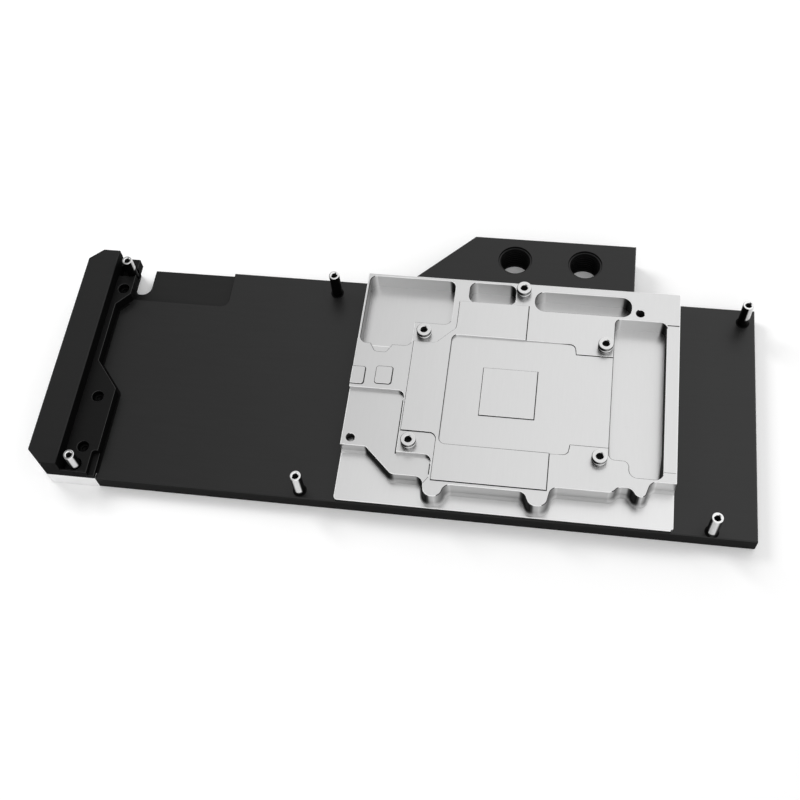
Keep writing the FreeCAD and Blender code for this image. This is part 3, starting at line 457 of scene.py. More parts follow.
def dress(name, mesh, material, smooth=True, extra=()):
    # A piece on the root body: faces in mesh slot 0 get the material and those in higher slots the extra
    # ones. Slots past the last extra one use it. smooth is True, False, or "walls" for a piece whose level
    # faces and slopes stay flat
    used = np.zeros(len(mesh.polygons), np.int32)
    mesh.polygons.foreach_get("material_index", used)
    mesh.materials.clear()
    for item in [material, *extra]:
        mesh.materials.append(item)
    mesh.polygons.foreach_set("material_index", np.minimum(used, len(extra)))
    piece = bpy.data.objects.new(name, mesh)
    bpy.context.scene.collection.objects.link(piece)
    if smooth:
        mesh.shade_smooth()
        mesh.set_sharp_from_angle(angle=math.radians(meshing["sharp"]))
    if smooth == "walls":
        normals = np.zeros(len(mesh.polygons) * 3)
        mesh.polygons.foreach_get("normal", normals)
        mesh.polygons.foreach_set("use_smooth", np.abs(normals.reshape(-1, 3)[:, 2]) < meshing["wall"])
    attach(piece, "root")
    return piece


def gridFaces(rows, columns, loop=False):
    # Quads between neighbouring rows of a grid whose columns close into a ring; loop also joins the last row
    # to the first
    row = np.arange(rows if loop else rows - 1)
    a, b = np.meshgrid(row, np.arange(columns), indexing="ij")
    nextRow, nextColumn = (a + 1) % rows, (b + 1) % columns
    return np.stack([a * columns + b, a * columns + nextColumn, nextRow * columns + nextColumn,
                     nextRow * columns + b], -1).reshape(-1, 4)


def anglesOf(sides):
    # Even steps of a whole turn
    return np.arange(sides) * 2 * math.pi / sides


def turned(radius, height, sides):
    # Points of a turned form: radius and height are (row) or (row, side) arrays, carried round the axis
    angle = anglesOf(sides)
    radius = np.asarray(radius, float)
    height = np.asarray(height, float)
    radius = radius[:, None] + 0 * angle if radius.ndim == 1 else radius
    height = height[:, None] + 0 * angle if height.ndim == 1 else height
    return np.stack([radius * np.cos(angle), radius * np.sin(angle), height], -1)


def braced(radius, height, longest=0.3, inset=0.06):
    # Rows of a profile, with two more inside each long stretch near its ends, so that it is shaded straight
    rows = [(radius[0], height[0])]
    for a, b, c, d in zip(radius[:-1], height[:-1], radius[1:], height[1:]):
        length = float(np.max(np.hypot(c - a, d - b)))
        if length > longest:
            part = inset / length
            rows += [(a + (c - a) * way, b + (d - b) * way) for way in (part, 1 - part)]
        rows.append((c, d))
    return np.array([row[0] for row in rows]), np.array([row[1] for row in rows])


def ridge(height, angle, pitch, top, bottom, runOut):
    # Height of a screw thread: a triangle wave of height over pitch less the turn, faded at both ends
    turn = height / pitch - angle / (2 * math.pi)
    wave = np.abs((turn % 1.0) * 2 - 1)
    fade = np.clip((top - height) / runOut, 0, 1) * np.clip((height - bottom) / runOut, 0, 1)
    return wave * fade


# Standoffs, in mm: sides and steps are counts, and the groove is four heights on the short ones
posts = {
    "sides": 48, "foot": 0.15, "rim": 0.22, "rimShare": 0.29, "mouth": 0.28,
    "pitch": 0.45, "thread": 0.16, "steps": 10, "runOut": 0.4, "cone": 0.3,
    "tallBore": 1.1, "tallDepth": 9.0, "shortBelow": 5, "shortBore": 1.3, "shortFloor": 0.02,
    "grooveDeep": 0.3, "groove": (0.95, 1.1, 1.45, 1.6),
    "ring": 2.6, "ringLap": 0.1, "ringSlope": 0.03, "ringLow": 0.004, "ringHigh": 0.02, "ringInset": 0.2,
}


def standoff(name):
    # A turned sleeve: foot, shaft, rounded rim, countersunk mouth and a threaded bore that ends in a cone
    low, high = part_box(name)
    reach = (high.x - low.x) / 2 / mm
    tall = (high.z - low.z) / mm
    short = tall < posts["shortBelow"]
    bore = posts["shortBore"] if short else posts["tallBore"]
    depth = tall - posts["shortFloor"] if short else posts["tallDepth"]
    rim, mouth, foot, sides = posts["rim"], posts["mouth"], posts["foot"], posts["sides"]
    turns = int((depth - mouth) / posts["pitch"])
    angle = anglesOf(sides)
    groove = []
    if short:
        neck = reach - posts["grooveDeep"]
        groove = list(zip((reach, neck, neck, reach), posts["groove"]))
    shoulder = rim * posts["rimShare"]
    outer = [(0, 0), (reach - foot, 0), (reach, foot), *groove, (reach, tall - rim),
             (reach - shoulder, tall - shoulder), (reach - rim, tall), (bore + mouth, tall)]
    end = tall - depth + posts["runOut"]
    inner = tall - mouth - np.linspace(0, 1, turns * posts["steps"]) * (depth - mouth - posts["runOut"])
    wave = ridge(inner[:, None], angle[None, :], posts["pitch"], tall - mouth, end, posts["runOut"])
    boreRadius = bore + posts["thread"] * wave
    rows = np.array(outer)
    outRadius, outHeight = braced(rows[:, :1] + 0 * angle, rows[:, 1:] + 0 * angle)
    radius = np.vstack([outRadius, boreRadius, [bore + 0 * angle], [0 * angle]])
    height = np.vstack([outHeight, inner[:, None] + 0 * angle, [tall - depth + posts["cone"] + 0 * angle],
                        [tall - depth + 0 * angle]])
    points = turned(radius, height, sides) * mm
    points += [(low.x + high.x) / 2, (low.y + high.y) / 2, low.z]
    # rows past the outer form and the countersink are the bore
    rowOf = np.repeat(np.arange(len(points) - 1), sides)
    title = name + "_turned"
    mesh = closedMesh(title, points.reshape(-1, 3), gridFaces(len(points), sides), rowOf >= len(outRadius))
    piece = dress(title, mesh, shortPostNickel if short else postNickel[name],
                  extra=[boreDark])
    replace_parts(piece, name)
    if not short:
        # a tall sleeve gets a painted shadow ring at its foot
        paintedShadowRing(name + "_ring", low, high, reach)


def paintedShadowRing(name, low, high, reach):
    # A painted shadow round the foot of a tall sleeve, as a thin flat dark ring on the plate
    inner, outer = reach - posts["ringLap"], posts["ring"]
    under, over = posts["ringLow"], posts["ringHigh"]
    ring = turned([inner, outer, outer - posts["ringSlope"], inner], [under, under, over, over],
                  posts["sides"]) * mm
    ring += [(low.x + high.x) / 2, (low.y + high.y) / 2, low.z]
    # one sleeve stands so close to the near side that its ring is cut off there
    ring[..., 1] = np.maximum(ring[..., 1], cadLow.y + posts["ringInset"] * mm)
    mesh = closedMesh(name, ring.reshape(-1, 3), gridFaces(4, posts["sides"], loop=True))
    dress(name, mesh, edgeShade)


for name in sorted(nodes):
    if "standoff" in name:
        standoff(name)
print("standoffs turned")


# Screws, in mm: key is the key hole's radius at its corners
screws = {
    "sides": 48, "edge": 0.22, "edgeShare": 0.3, "seat": 0.05, "tip": 0.3, "tipShare": 0.8,
    "keyDepth": 0.9, "keyMouth": 0.12, "keyCone": 0.3,
    "cover": {"radius": 2.1, "high": 1.5, "shank": 1.25, "key": 1.15, "length": 5.5},
    "plate": {"radius": 2.6, "high": 1.9, "shank": 1.45, "key": 1.35, "length": 4.0},
}


def capScrew(name, middle, axis, head):
    # Socket head with a broken edge, a hexagonal key hole and a plain shank; axis is where the head points
    sides = screws["sides"]
    angle = anglesOf(sides)
    key, length, high, wide, shank = (head[part] for part in ("key", "length", "high", "radius", "shank"))
    apothem = key * math.cos(math.pi / 6)
    # distance to a hexagon's side along each angle
    hexagon = apothem / np.cos((angle % (math.pi / 3)) - math.pi / 6)
    ring = np.ones(sides)
    edge, seat = screws["edge"], screws["seat"]
    shoulder = edge * screws["edgeShare"]
    rows = [(0 * ring, -length), (shank * ring * screws["tipShare"], -length),
            (shank * ring, -length + screws["tip"]), (shank * ring, 0), ((wide - seat) * ring, 0),
            (wide * ring, seat), (wide * ring, high - edge), ((wide - shoulder) * ring, high - shoulder),
            ((wide - edge) * ring, high), ((key + screws["keyMouth"]) * ring, high),
            (hexagon, high - screws["keyMouth"]), (hexagon, high - screws["keyDepth"]),
            (0 * ring, high - screws["keyDepth"] - screws["keyCone"])]
    radius, height = braced(np.array([row[0] for row in rows]), np.array([row[1] + 0 * ring for row in rows]))
    points = turned(radius, height, sides).reshape(-1, 3) * mm
    points = points @ np.array(turnTo[axis]).T + np.array(middle)
    mesh = closedMesh(name, points, gridFaces(len(radius), sides))
    return dress(name, mesh, screwBlack)


for name in sorted(nodes):
    if name.startswith("cover_screw"):
        low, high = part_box(name)
        head = screws["cover"]
        middle = ((low.x + high.x) / 2, (low.y + high.y) / 2, high.z - head["high"] * mm)
        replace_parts(capScrew(name + "_detail", middle, "up", head), name)
print("cover screws made")


# Plates
def mergedCopy(name):
    # A CAD node's loose triangles as one closed mesh with its flat faces joined up
    loose = nodes[name].data
    points = np.zeros(len(loose.vertices) * 3)
    corners = np.zeros(len(loose.loops), np.int32)
    loose.vertices.foreach_get("co", points)
    loose.loops.foreach_get("vertex_index", corners)
    plain = bpy.data.meshes.new(name + "_plain")
    plain.from_pydata(points.reshape(-1, 3).tolist(), [], corners.reshape(-1, 3).tolist())
    work = bmesh.new()
    work.from_mesh(plain)
    bmesh.ops.remove_doubles(work, verts=work.verts, dist=meshing["merge"])
    bmesh.ops.dissolve_limit(work, angle_limit=math.radians(meshing["flat"]), verts=work.verts,
                             edges=work.edges)
    mesh = bpy.data.meshes.new(name + "_merged")
    work.to_mesh(mesh)
    work.free()
    return mesh


# Edges of milled steps, in mm: how level a level edge is, the least angle in degrees between its faces, how
# far up its upper face looks, and a height above every wall
steps = {"level": 0.05, "sharp": 60, "upward": 0.5, "tallest": 100.0}


def heightOf(item):
    # How tall a face or an edge is
    heights = [vertex.co.z for vertex in item.verts]
    return max(heights) - min(heights)


def levelEdges(work, convex, lowest, highest):
    # Sharp level edges of upward faces, outer or inner, with a side wall from lowest to highest mm tall
    picked = []
    for edge in work.edges:
        a, b = (vertex.co for vertex in edge.verts)
        if len(edge.link_faces) != 2 or abs(a.z - b.z) > steps["level"] * mm or edge.is_convex != convex:
            continue
        wall, level = sorted(edge.link_faces, key=lambda face: abs(face.normal.z))
        if edge.calc_face_angle() < math.radians(steps["sharp"]) or level.normal.z < steps["upward"]:
            continue
        if lowest * mm < heightOf(wall) < highest * mm:
            picked.append(edge)
    return picked


def bevel(work, edges, width, slot=0, **shape):
    # A cut along edges of the given width, measured along their faces, whose new faces get the slot
    bmesh.ops.bevel(work, geom=edges, offset=width, offset_type="OFFSET", affect="EDGES", clamp_overlap=False,
                    material=slot, **shape)


# The cold plate's near outline, in mm: walls that stand on the flange within these depths of its near side
# get these radii at their corners and feet. tall is the least height of such a wall, and facet the widest
# facet of an arc; an arc is made wider only by more than gain, and takes at most room of the way to the
# next corner
outline = {"cornerDeep": 18, "cornerRadius": 3.0, "footDeep": 30, "footRadius": 1.2, "flange": 2.2,
           "tall": 5.0, "footTall": 3.0, "upright": 0.01, "level": 0.05, "facet": 0.6, "leastEdges": 4,
           "gain": 1.05, "room": 0.46, "cornerSegments": 10, "footSegments": 5}


def spot(edge):
    # The place in plan of an upright edge
    return np.array(edge.verts[0].co.xy)


def between(edge, other):
    # How far apart two upright edges are
    return np.linalg.norm(spot(other) - spot(edge))


def flangeLevel(work):
    # The height of the flange's upper face
    return min(vertex.co.z for vertex in work.verts) + outline["flange"] * mm


def uprightEdges(work, deep):
    # The outline's upright edges that stand on the flange, nearer than deep
    flange = flangeLevel(work)
    picked = []
    for edge in work.edges:
        a, b = (np.array(vertex.co) for vertex in edge.verts)
        upright = np.linalg.norm(a[:2] - b[:2]) < outline["upright"] * mm
        onFlange = abs(min(a[2], b[2]) - flange) < outline["level"] * mm
        tall = heightOf(edge) > outline["tall"] * mm
        if len(edge.link_faces) == 2 and a[1] < deep and upright and onFlange and tall:
            picked.append(edge)
    return picked


def arcsOf(edges):
    # The upright edges of each rounded corner, and its two ends: an edge, the flank there and the next edge
    # past the flank
    known = set(edges)
    widest = outline["facet"] * mm

    def across(edge, face):
        # the nearest upright edge on the other side of a wall, if there is one
        others = [item for item in face.edges if item in known and item is not edge]
        return min(others, key=lambda item: between(edge, item)) if others else None

    arcs, seen = [], set()
    for edge in edges:
        arc, waiting = [], [edge]
        while waiting:
            item = waiting.pop()
            if item in seen:
                continue
            seen.add(item)
            arc.append(item)
            nexts = [across(item, face) for face in item.link_faces]
            waiting += [other for other in nexts if other and between(item, other) < widest]
        ends = [(item, face, across(item, face)) for item in arc for face in item.link_faces]
        ends = [end for end in ends if end[2] is None or between(end[0], end[2]) >= widest]
        if len(arc) >= outline["leastEdges"] and len(ends) == 2:
            arcs.append((arc, ends))
    return arcs


def sharpCorner(ends):
    # Where the flanks' lines meet, how far that is from the arc's end, and the angle between the flanks
    (first, firstFace, _), (last, lastFace, _) = ends
    along = [np.array([-face.normal.y, face.normal.x]) for face in (firstFace, lastFace)]
    reach = np.linalg.solve(np.array([along[0], -along[1]]).T, spot(last) - spot(first))
    corner = spot(first) + reach[0] * along[0]
    turn = math.acos(min(1.0, abs(float(np.dot(along[0], along[1])))))
    return corner, np.linalg.norm(corner - spot(first)), turn


def widerCorners(mesh, deep, radius):
    # The outline's arcs on the near side, taken back to the corner where their flanks meet and rounded
    # again with at least the given radius in mm, as far as the flanks allow: the cut starts radius times
    # the tangent of half the turn from the corner
    work = bmesh.new()
    work.from_mesh(mesh)
    number = work.edges.layers.int.new("number")
    arcs = arcsOf(uprightEdges(work, deep))
    corners = [sharpCorner(ends) for _, ends in arcs]
    jobs = []
    for (arc, ends), (corner, tangent, turn) in zip(arcs, corners):
        room = []
        for _, _, other in ends:
            if other is not None:
                ahead = [place for (edges, _), (place, _, _) in zip(arcs, corners) if other in edges]
                room.append(np.linalg.norm((ahead[0] if ahead else spot(other)) - corner))
        wanted = min([radius * mm * math.tan(turn / 2)] + [outline["room"] * part for part in room])
        if wanted > tangent * outline["gain"]:
            lowAndHigh = zip(*[sorted(edge.verts, key=lambda vertex: vertex.co.z) for edge in arc])
            jobs.append((list(lowAndHigh), corner, wanted))
    for mark, (levels, corner, _) in enumerate(jobs):
        ends = []
        for points in levels:
            place = (corner[0], corner[1], points[0].co.z)
            bmesh.ops.pointmerge(work, verts=points, merge_co=place)
            ends.append(min(work.verts, key=lambda vertex: (vertex.co - Vector(place)).length))
        for edge in ends[0].link_edges:
            if edge.other_vert(ends[0]) is ends[1]:
                edge[number] = mark + 1
    for mark, (_, _, wanted) in enumerate(jobs):
        picked = [edge for edge in work.edges if edge[number] == mark + 1]
        bevel(work, picked, wanted, segments=outline["cornerSegments"], profile=0.5)
    work.edges.layers.int.remove(work.edges.layers.int["number"])
    work.to_mesh(mesh)
    work.free()
    print(len(jobs), "corners of the outline made wider")
    return mesh


def filletedFoot(mesh, deep, radius):
    # A radius in mm at the foot of the tall outline walls on the near side, left by a bull-nosed cutter
    work = bmesh.new()
    work.from_mesh(mesh)
    flange = flangeLevel(work)
    picked = [edge for edge in levelEdges(work, False, outline["footTall"], steps["tallest"])
              if abs(edge.verts[0].co.z - flange) < outline["level"] * mm
              and max(vertex.co.y for vertex in edge.verts) < deep]
    bevel(work, picked, radius * mm, segments=outline["footSegments"], profile=0.5)
    work.to_mesh(mesh)
    work.free()
    return mesh


# Broken edges, in mm: steps lower than lowest are left, and those lower than low count as low ones. Slopes
# count as turned away past these parts of their normal, and as inside the outline from inset on; a face
# whose normal is lower than wall is a wall. The last six are the widths of the pieces' own slopes
broken = {"lowest": 0.3, "low": 1.0, "awayFar": 0.25, "awayRight": 0.3, "inset": 0.3, "wall": 0.3,
          "cold": 0.22, "coldFoot": 0.26, "coldLow": 0.12, "plates": 0.16, "cover": 0.12, "diffuser": 0.1}


def brokenEdges(mesh, outer, foot=0.0, lowOuter=0.0, shaded=False):
    # Sharp level edges as narrow slopes of the given widths in mm: outer edges in slot 1, narrower on low
    # steps, and in slot 2 the foot of the low steps, where the cutter leaves a narrow radius. Where shaded,
    # slopes that fall away towards +y or +x inside the outline, and walls lower than the lowest step, go to
    # slot 2 too. The pieces fill slot 1 with a painted highlight or painted shade, and slot 2 with painted
    # shade
    work = bmesh.new()
    work.from_mesh(mesh)
    least, most = ([side(vertex.co[axis] for vertex in work.verts) for axis in (0, 1)] for side in (min, max))
    cut = work.edges.layers.int.new("cut")
    lowest = broken["lowest"]
    low = broken["low"] if foot else lowest
    parts = [(2, foot, levelEdges(work, False, lowest, low)),
             (1, lowOuter, levelEdges(work, True, lowest, low)),
             (1, outer, levelEdges(work, True, low, steps["tallest"]))]
    for number, (_, _, edges) in enumerate(parts):
        for edge in edges:
            edge[cut] = number + 1
    for number, (slot, width, _) in enumerate(parts):
        picked = [edge for edge in work.edges if edge[cut] == number + 1]
        if width and picked:
            bevel(work, picked, width * mm, slot, segments=1)
    if shaded:
        right, far = (max(vertex.co[axis] for vertex in work.verts) - broken["inset"] * mm for axis in (0, 1))
        for face in work.faces:
            middle = face.calc_center_median()
            awayFar = face.normal.y > broken["awayFar"] and middle.y < far
            away = (awayFar or face.normal.x > broken["awayRight"]) and middle.x < right
            lowWall = abs(face.normal.z) < broken["wall"] and heightOf(face) < lowest * mm
            if face.material_index == 1 and away or lowWall:
                face.material_index = 2
    # where a slope runs off the end of a side, its corner is brought back to the side
    for vertex in work.verts:
        vertex.co.x = min(max(vertex.co.x, least[0]), most[0])
        vertex.co.y = min(max(vertex.co.y, least[1]), most[1])
    work.edges.layers.int.remove(work.edges.layers.int["cut"])
    work.to_mesh(mesh)
    work.free()
    return mesh


def carved(mesh, cutters):
    # The mesh less the given closed meshes
    body = bpy.data.objects.new("carved", mesh)
    bpy.context.scene.collection.objects.link(body)
    tools = []
    for number, cutter in enumerate(cutters):
        tool = bpy.data.objects.new(f"cutter{number}", cutter)
        bpy.context.scene.collection.objects.link(tool)
        cut = body.modifiers.new(f"cut{number}", "BOOLEAN")
        cut.operation, cut.object, cut.solver = "DIFFERENCE", tool, "EXACT"
        tools.append(tool)
    bpy.context.view_layer.update()
    made = bpy.data.meshes.new_from_object(body.evaluated_get(bpy.context.evaluated_depsgraph_get()))
    for item in tools + [body]:
        bpy.data.objects.remove(item)
    return made


# Counterbored screws from the front face into the cold plate, and from the far side through the terminal,
# in mm. clear is how far a well starts outside its face, and gap how far a head stays off its floor. The
# corner screws stand at the inset from the cold plate's sides, a little less at the far one, and those
# between them this far from the middle. The terminal's are counted from its left side, the frame's middle
# and its right side
fasteners = {"well": 2.9, "wellDepth": 2.1, "wellSides": 48, "clear": 0.5, "gap": 0.02,
             "inset": 5.0, "farShare": 0.8, "nearBetween": (-10.0, 28.0), "farBetween": 26.0,
             "terminal": (26.5, 53.4, -4.5)}
plateLow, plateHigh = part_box("top_plate")
terminalLow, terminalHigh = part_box("terminal")


def bored(middle, axis):
    # A closed cylinder that starts just outside a face and reaches a well's depth into it
    radius, depth, sides = (fasteners[part] for part in ("well", "wellDepth", "wellSides"))
    clear = fasteners["clear"]
    points = turned([0, radius, radius, 0], [clear, clear, -depth, -depth], sides).reshape(-1, 3) * mm
    points = points @ np.array(turnTo[axis]).T + np.array(middle)
    return closedMesh("bored", points, gridFaces(4, sides))


mesh = widerCorners(mergedCopy("cold_plate"), coldLow.y + outline["cornerDeep"] * mm, outline["cornerRadius"])
mesh = filletedFoot(mesh, coldLow.y + outline["footDeep"] * mm, outline["footRadius"])
mesh = brokenEdges(mesh, broken["cold"], broken["coldFoot"], broken["coldLow"], shaded=True)
# slot 1 carries a painted highlight on the broken edges, and slot 2 painted shade
cold = dress("cold_plate_milled", mesh, coldNickel, "walls", extra=[edgeNickel, cornerDark])
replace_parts(cold, "cold_plate")
print("cold plate milled")

inset = fasteners["inset"] * mm
left, right = coldLow.x + inset, coldHigh.x - inset
near, far = coldLow.y + inset, coldHigh.y - inset * fasteners["farShare"]
middleX, middleY = (left + right) / 2, (near + far) / 2
nearBetween = [middleX + x * mm for x in fasteners["nearBetween"]]
spots = [(left, near), (nearBetween[0], near), (nearBetween[1], near), (right, near), (right, middleY),
         (right, far), (middleX + fasteners["farBetween"] * mm, far), (left, far), (left, middleY)]
wells = [bored((x, y, plateLow.z), "down") for x, y in spots]
mesh = brokenEdges(carved(mergedCopy("top_plate"), wells), broken["plates"])
# the broken edges of the plate are painted shade, as dark lines
plate = dress("top_plate_cut", mesh, plateBlack, "walls", extra=[edgeShade])
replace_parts(plate, "top_plate")
seatDepth = (fasteners["wellDepth"] - fasteners["gap"]) * mm
for number, (x, y) in enumerate(spots):
    capScrew(f"plate_screw_{number}", (x, y, plateLow.z + seatDepth), "down", screws["plate"])

z = (terminalLow.z + terminalHigh.z) / 2
starts = (terminalLow.x, 0.0, terminalHigh.x)
spots = [(start + x * mm, z) for start, x in zip(starts, fasteners["terminal"])]
wells = [bored((x, terminalHigh.y, z), "far") for x, z in spots]
mesh = brokenEdges(carved(mergedCopy("terminal"), wells), broken["plates"])
# the broken edges of the terminal are painted shade, as dark lines
block = dress("terminal_cut", mesh, terminalBlack, "walls", extra=[edgeShade])
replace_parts(block, "terminal")
for number, (x, z) in enumerate(spots):
    capScrew(f"terminal_screw_{number}", (x, terminalHigh.y - seatDepth, z), "far", screws["plate"])
print("plates cut and screwed")

mesh = brokenEdges(mergedCopy("end_cover"), broken["cover"])
# the broken edges of the cover carry a painted highlight
cover = dress("end_cover_edged", mesh, coverBlack, "walls", extra=[edgeBlack])
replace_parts(cover, "end_cover")
mesh = brokenEdges(mergedCopy("end_diffuser"), broken["diffuser"])
diffuser = dress("end_diffuser_edged", mesh, diffuserWhite)
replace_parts(diffuser, "end_diffuser")
print("end cover and diffuser edged")


# Threads, in mm: top and bottom are heights over the terminal's underside, or over the plate's mount
threads = {"sides": 72, "steps": 12, "clear": 0.01, "skin": 0.05,
           "port": {"radius": 5.9, "minor": 5.5, "pitch": 1.337, "top": 11.9, "bottom": 0.6},
           "plate": {"radius": 1.6, "minor": 1.42, "pitch": 0.5, "top": -0.3, "bottom": -4.6}}


def threadLining(name, place, thread, material, closed=False):
    # A thin threaded skin against a bore's wall: inside, the radius falls by the thread's ridge; outside it
    # is round; closed gives it a floor
    sides, skin = threads["sides"], threads["skin"]
    radius, minor, pitch, top, bottom = (
        thread[part] for part in ("radius", "minor", "pitch", "top", "bottom"))
    angle = anglesOf(sides)
    height = np.linspace(top, bottom, int((top - bottom) / pitch * threads["steps"]))
    wave = ridge(height[:, None], angle[None, :], pitch, top, bottom, pitch)
    inner = radius - threads["clear"] - (radius - minor) * wave
    outer = np.full((2, sides), radius + skin)
    levels = [height[:, None] + 0 * angle, [bottom + 0 * angle], [top + 0 * angle]]
    if closed:
        inner = np.vstack([inner, np.zeros((2, sides))])
        levels[1:1] = [[bottom + 0 * angle], [bottom - skin + 0 * angle]]
        levels[3] = [bottom - skin + 0 * angle]
    points = turned(np.vstack([inner, outer]), np.vstack(levels), sides) * mm
    points += place
    mesh = closedMesh(name, points.reshape(-1, 3), gridFaces(len(points), sides, loop=True))
    return dress(name, mesh, material)


for mount in frame["record"]["mounts"]:
    x, y, z = mount["pos_m"]
    if mount["name"] in ("port_left", "port_right"):
        threadLining(mount["name"] + "_thread", [x, y, terminalLow.z], threads["port"], plateBlack)
    if mount["name"].startswith("plate_thread"):
        threadLining(mount["name"] + "_detail", [x, y, z], threads["plate"], boreDark, closed=True)
print("threads cut")


# Painted shade as dark lines at the feet of low steps, in mm. The cover's is a painted shadow that runs along
# its wall over the recess; the others are counted from the cold plate's lowest corner: the rims from start to
# inset from the right side, at their y, and the feet of the two middling steps that face -x, which show past
# the step, from near to far at their x
footLines = {
    "under": 0.001, "over": 0.012,
    "cover": {"line": [(-110.25, -58.2), (-110.25, -24.3), (-110.6, -23.3), (-120.45, -11.7), (-120.45, 15.1),
                       (-117.0, 18.9)], "width": 0.9, "low": 7.001, "high": 7.03},
    "rims": {"rim_line_near": 19.3, "rim_line_far": 81.95},
    "rim": {"start": 118.25, "inset": 0.3, "level": 9.15, "width": 0.25},
    "steps": {"pad_line": {"x": 21.4, "near": 18.2, "far": 40.8, "width": 0.62},
              "rib_line": {"x": 34.6, "near": 11.0, "far": 15.4, "width": 0.55}},
    "stepLevel": 7.45,
}


def ribbon(name, line, width, low, high, material):
    # A flat band from line to width mm on its right, between two heights in mm
    line = np.array(line, float)
    along = np.diff(line, axis=0)
    along /= np.linalg.norm(along, axis=1)[:, None]
    side = np.stack([along[:, 1], -along[:, 0]], -1)
    # at a bend the two sides' mean, lengthened so that both bands keep their width
    bend = np.vstack([side[:1], side[:-1] + side[1:], side[-1:]])
    bend /= np.sum(bend * np.vstack([side[:1], side]), axis=1)[:, None]
    outer = line + width * bend
    # each row is a section's four corners, with a row of one point at each end
    level = np.full((len(line), 1), low)
    above = np.full((len(line), 1), high)
    rows = np.stack([np.hstack([line, level]), np.hstack([outer, level]), np.hstack([outer, above]),
                     np.hstack([line, above])], 1)
    caps = np.repeat(rows[[0, -1]].mean(axis=1, keepdims=True), 4, axis=1)
    points = np.concatenate([caps[:1], rows, caps[1:]]) * mm
    mesh = closedMesh(name, points.reshape(-1, 3), gridFaces(len(points), 4))
    return dress(name, mesh, material, smooth=False)


def darkLine(name, line, width, level):
    # Painted shade at a foot on the cold plate, as a dark band at a level in mm over its underside
    level += coldLow.z / mm
    ribbon(name, line, width, level + footLines["under"], level + footLines["over"], cornerDark)


foot, rim = footLines["cover"], footLines["rim"]
ribbon("cover_foot_line", foot["line"], foot["width"], foot["low"], foot["high"], edgeShade)
left, right, near = coldLow.x / mm, coldHigh.x / mm, coldLow.y / mm
for name, y in footLines["rims"].items():
    line = [(right - rim["inset"], near + y), (left + rim["start"], near + y)]
    darkLine(name, line, rim["width"], rim["level"])
for name, step in footLines["steps"].items():
    line = [(left + step["x"], near + step["far"]), (left + step["x"], near + step["near"])]
    darkLine(name, line, step["width"], footLines["stepLevel"])
print("foot lines laid")

# Carried-over nodes
carried = {"main_seal": sealBlack, "inlet_seal": sealBlack, "outlet_seal": sealBlack,
           "jet_plate": sheetSteel, "light_strip": stripWhite}
for name, material in carried.items():
    nodes[name].data.materials.clear()
    nodes[name].data.materials.append(material)

# Floor, light and camera. The room runs from dark to bright between two parts of its width, from -1 at the
# left to 1 at the right; horizon gives the heights over which its white edge fades out
studio = {"floorSide": 3.0, "floorDrop": 0.0001, "floorTone": 0.95, "fibreScale": 500.0, "fibreTone": 0.01,
          "floorGlow": 0.11, "lampPower": 6.0, "lampSide": 0.5, "lampPlace": (-0.75, 0.45, 0.85),
          "room": (-0.57, 0.01), "roomDark": 0.1, "roomBright": 1.06, "horizon": (0.25, 0.45)}


def seenOf(f):
    # 1 for rays from the camera and for what mirrors and glass show, 0 for rays that light things
    path = f.node("ShaderNodeLightPath")
    ray = path.out("Is Camera Ray").math("MAXIMUM", path.out("Is Camera Ray"), path.out("Is Glossy Ray"))
    return ray.math("MAXIMUM", ray, path.out("Is Transmission Ray"))


def floorFinish(name):
    # White paper; where it is seen, a little glow takes the open floor to white, under the shadows
    f = Finish(name)
    fibre = f.noise(f.place(), studio["fibreScale"], roughness=0.6)
    tone = studio["floorTone"] + (fibre - 0.5) * studio["fibreTone"]
    paper = f.node("ShaderNodeBsdfDiffuse", {}, Color=f.grey(tone))
    glow = f.node("ShaderNodeEmission", {}, Color=(1.0, 1.0, 1.0), Strength=seenOf(f) * studio["floorGlow"])
    both = f.node("ShaderNodeAddShader", {}, paper, glow)
    return f.surface(both)


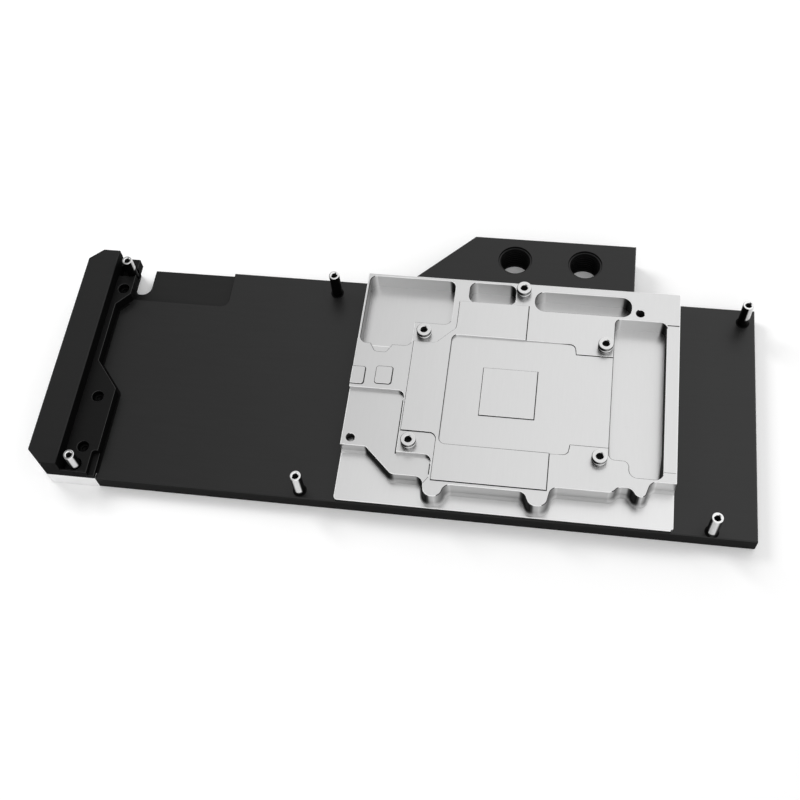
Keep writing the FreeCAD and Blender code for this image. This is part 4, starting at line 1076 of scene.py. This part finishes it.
half = studio["floorSide"] / 2
mesh = bpy.data.meshes.new("floor")
drop = cadLow.z - studio["floorDrop"]
mesh.from_pydata([(-half, -half, drop), (half, -half, drop), (half, half, drop), (-half, half, drop)], [],
                 [(0, 1, 2, 3)])
mesh.materials.append(floorFinish("floorWhite"))
floor = bpy.data.objects.new("floor", mesh)
bpy.context.scene.collection.objects.link(floor)
floor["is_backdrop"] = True

world = bpy.data.worlds.new("studio")
bpy.context.scene.world = world
world.use_nodes = True
sky = Finish("studio", world.node_tree)
direction = sky.node("ShaderNodeSeparateXYZ", {}, sky.node("ShaderNodeTexCoord").out("Generated"))
# the room is dark at the far left and bright from the middle on
glow = sky.span(direction.out("X"), *studio["room"], studio["roomDark"], studio["roomBright"])
# behind the floor's edge it is seen white, also in a mirror
seen = seenOf(sky) * sky.span(direction.out("Z"), *studio["horizon"], 1.0, 0.0)
glow = glow.math("MAXIMUM", glow, seen)
light = sky.node("ShaderNodeBackground", {}, Color=(1.0, 1.0, 1.0), Strength=glow)
sky.node("ShaderNodeOutputWorld", {}, Surface=light)

lampData = bpy.data.lights.new("softbox", "AREA")
lampData.shape, lampData.size, lampData.energy = "SQUARE", studio["lampSide"], studio["lampPower"]
lamp = bpy.data.objects.new("softbox", lampData)
bpy.context.scene.collection.objects.link(lamp)
lamp.location = studio["lampPlace"]
lamp.rotation_euler = (-lamp.location).to_track_quat("-Z", "Y").to_euler()
lamp.visible_glossy = False

# the camera is fitted to the photo's straight edges and hole centres; right, up and back are its axes
view = {"place": (0.05497, -0.22754, 0.39478), "lens": 51.95, "sensor": 36.0, "clip": 0.01,
        "right": (0.98899, 0.13235, -0.06617), "up": (-0.08379, 0.86949, 0.48680),
        "back": (0.12196, -0.47589, 0.87101)}
cameraData = bpy.data.cameras.new("camera")
cameraData.lens, cameraData.sensor_width, cameraData.sensor_fit = view["lens"], view["sensor"], "HORIZONTAL"
cameraData.clip_start = view["clip"]
camera = bpy.data.objects.new("camera", cameraData)
bpy.context.scene.collection.objects.link(camera)
turn = Matrix((view["right"], view["up"], view["back"])).transposed()
camera.matrix_world = Matrix.Translation(view["place"]) @ turn.to_4x4()
bpy.context.scene.camera = camera
bpy.context.scene.view_settings.view_transform = "Standard"
print("floor, light and camera set")

low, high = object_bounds()
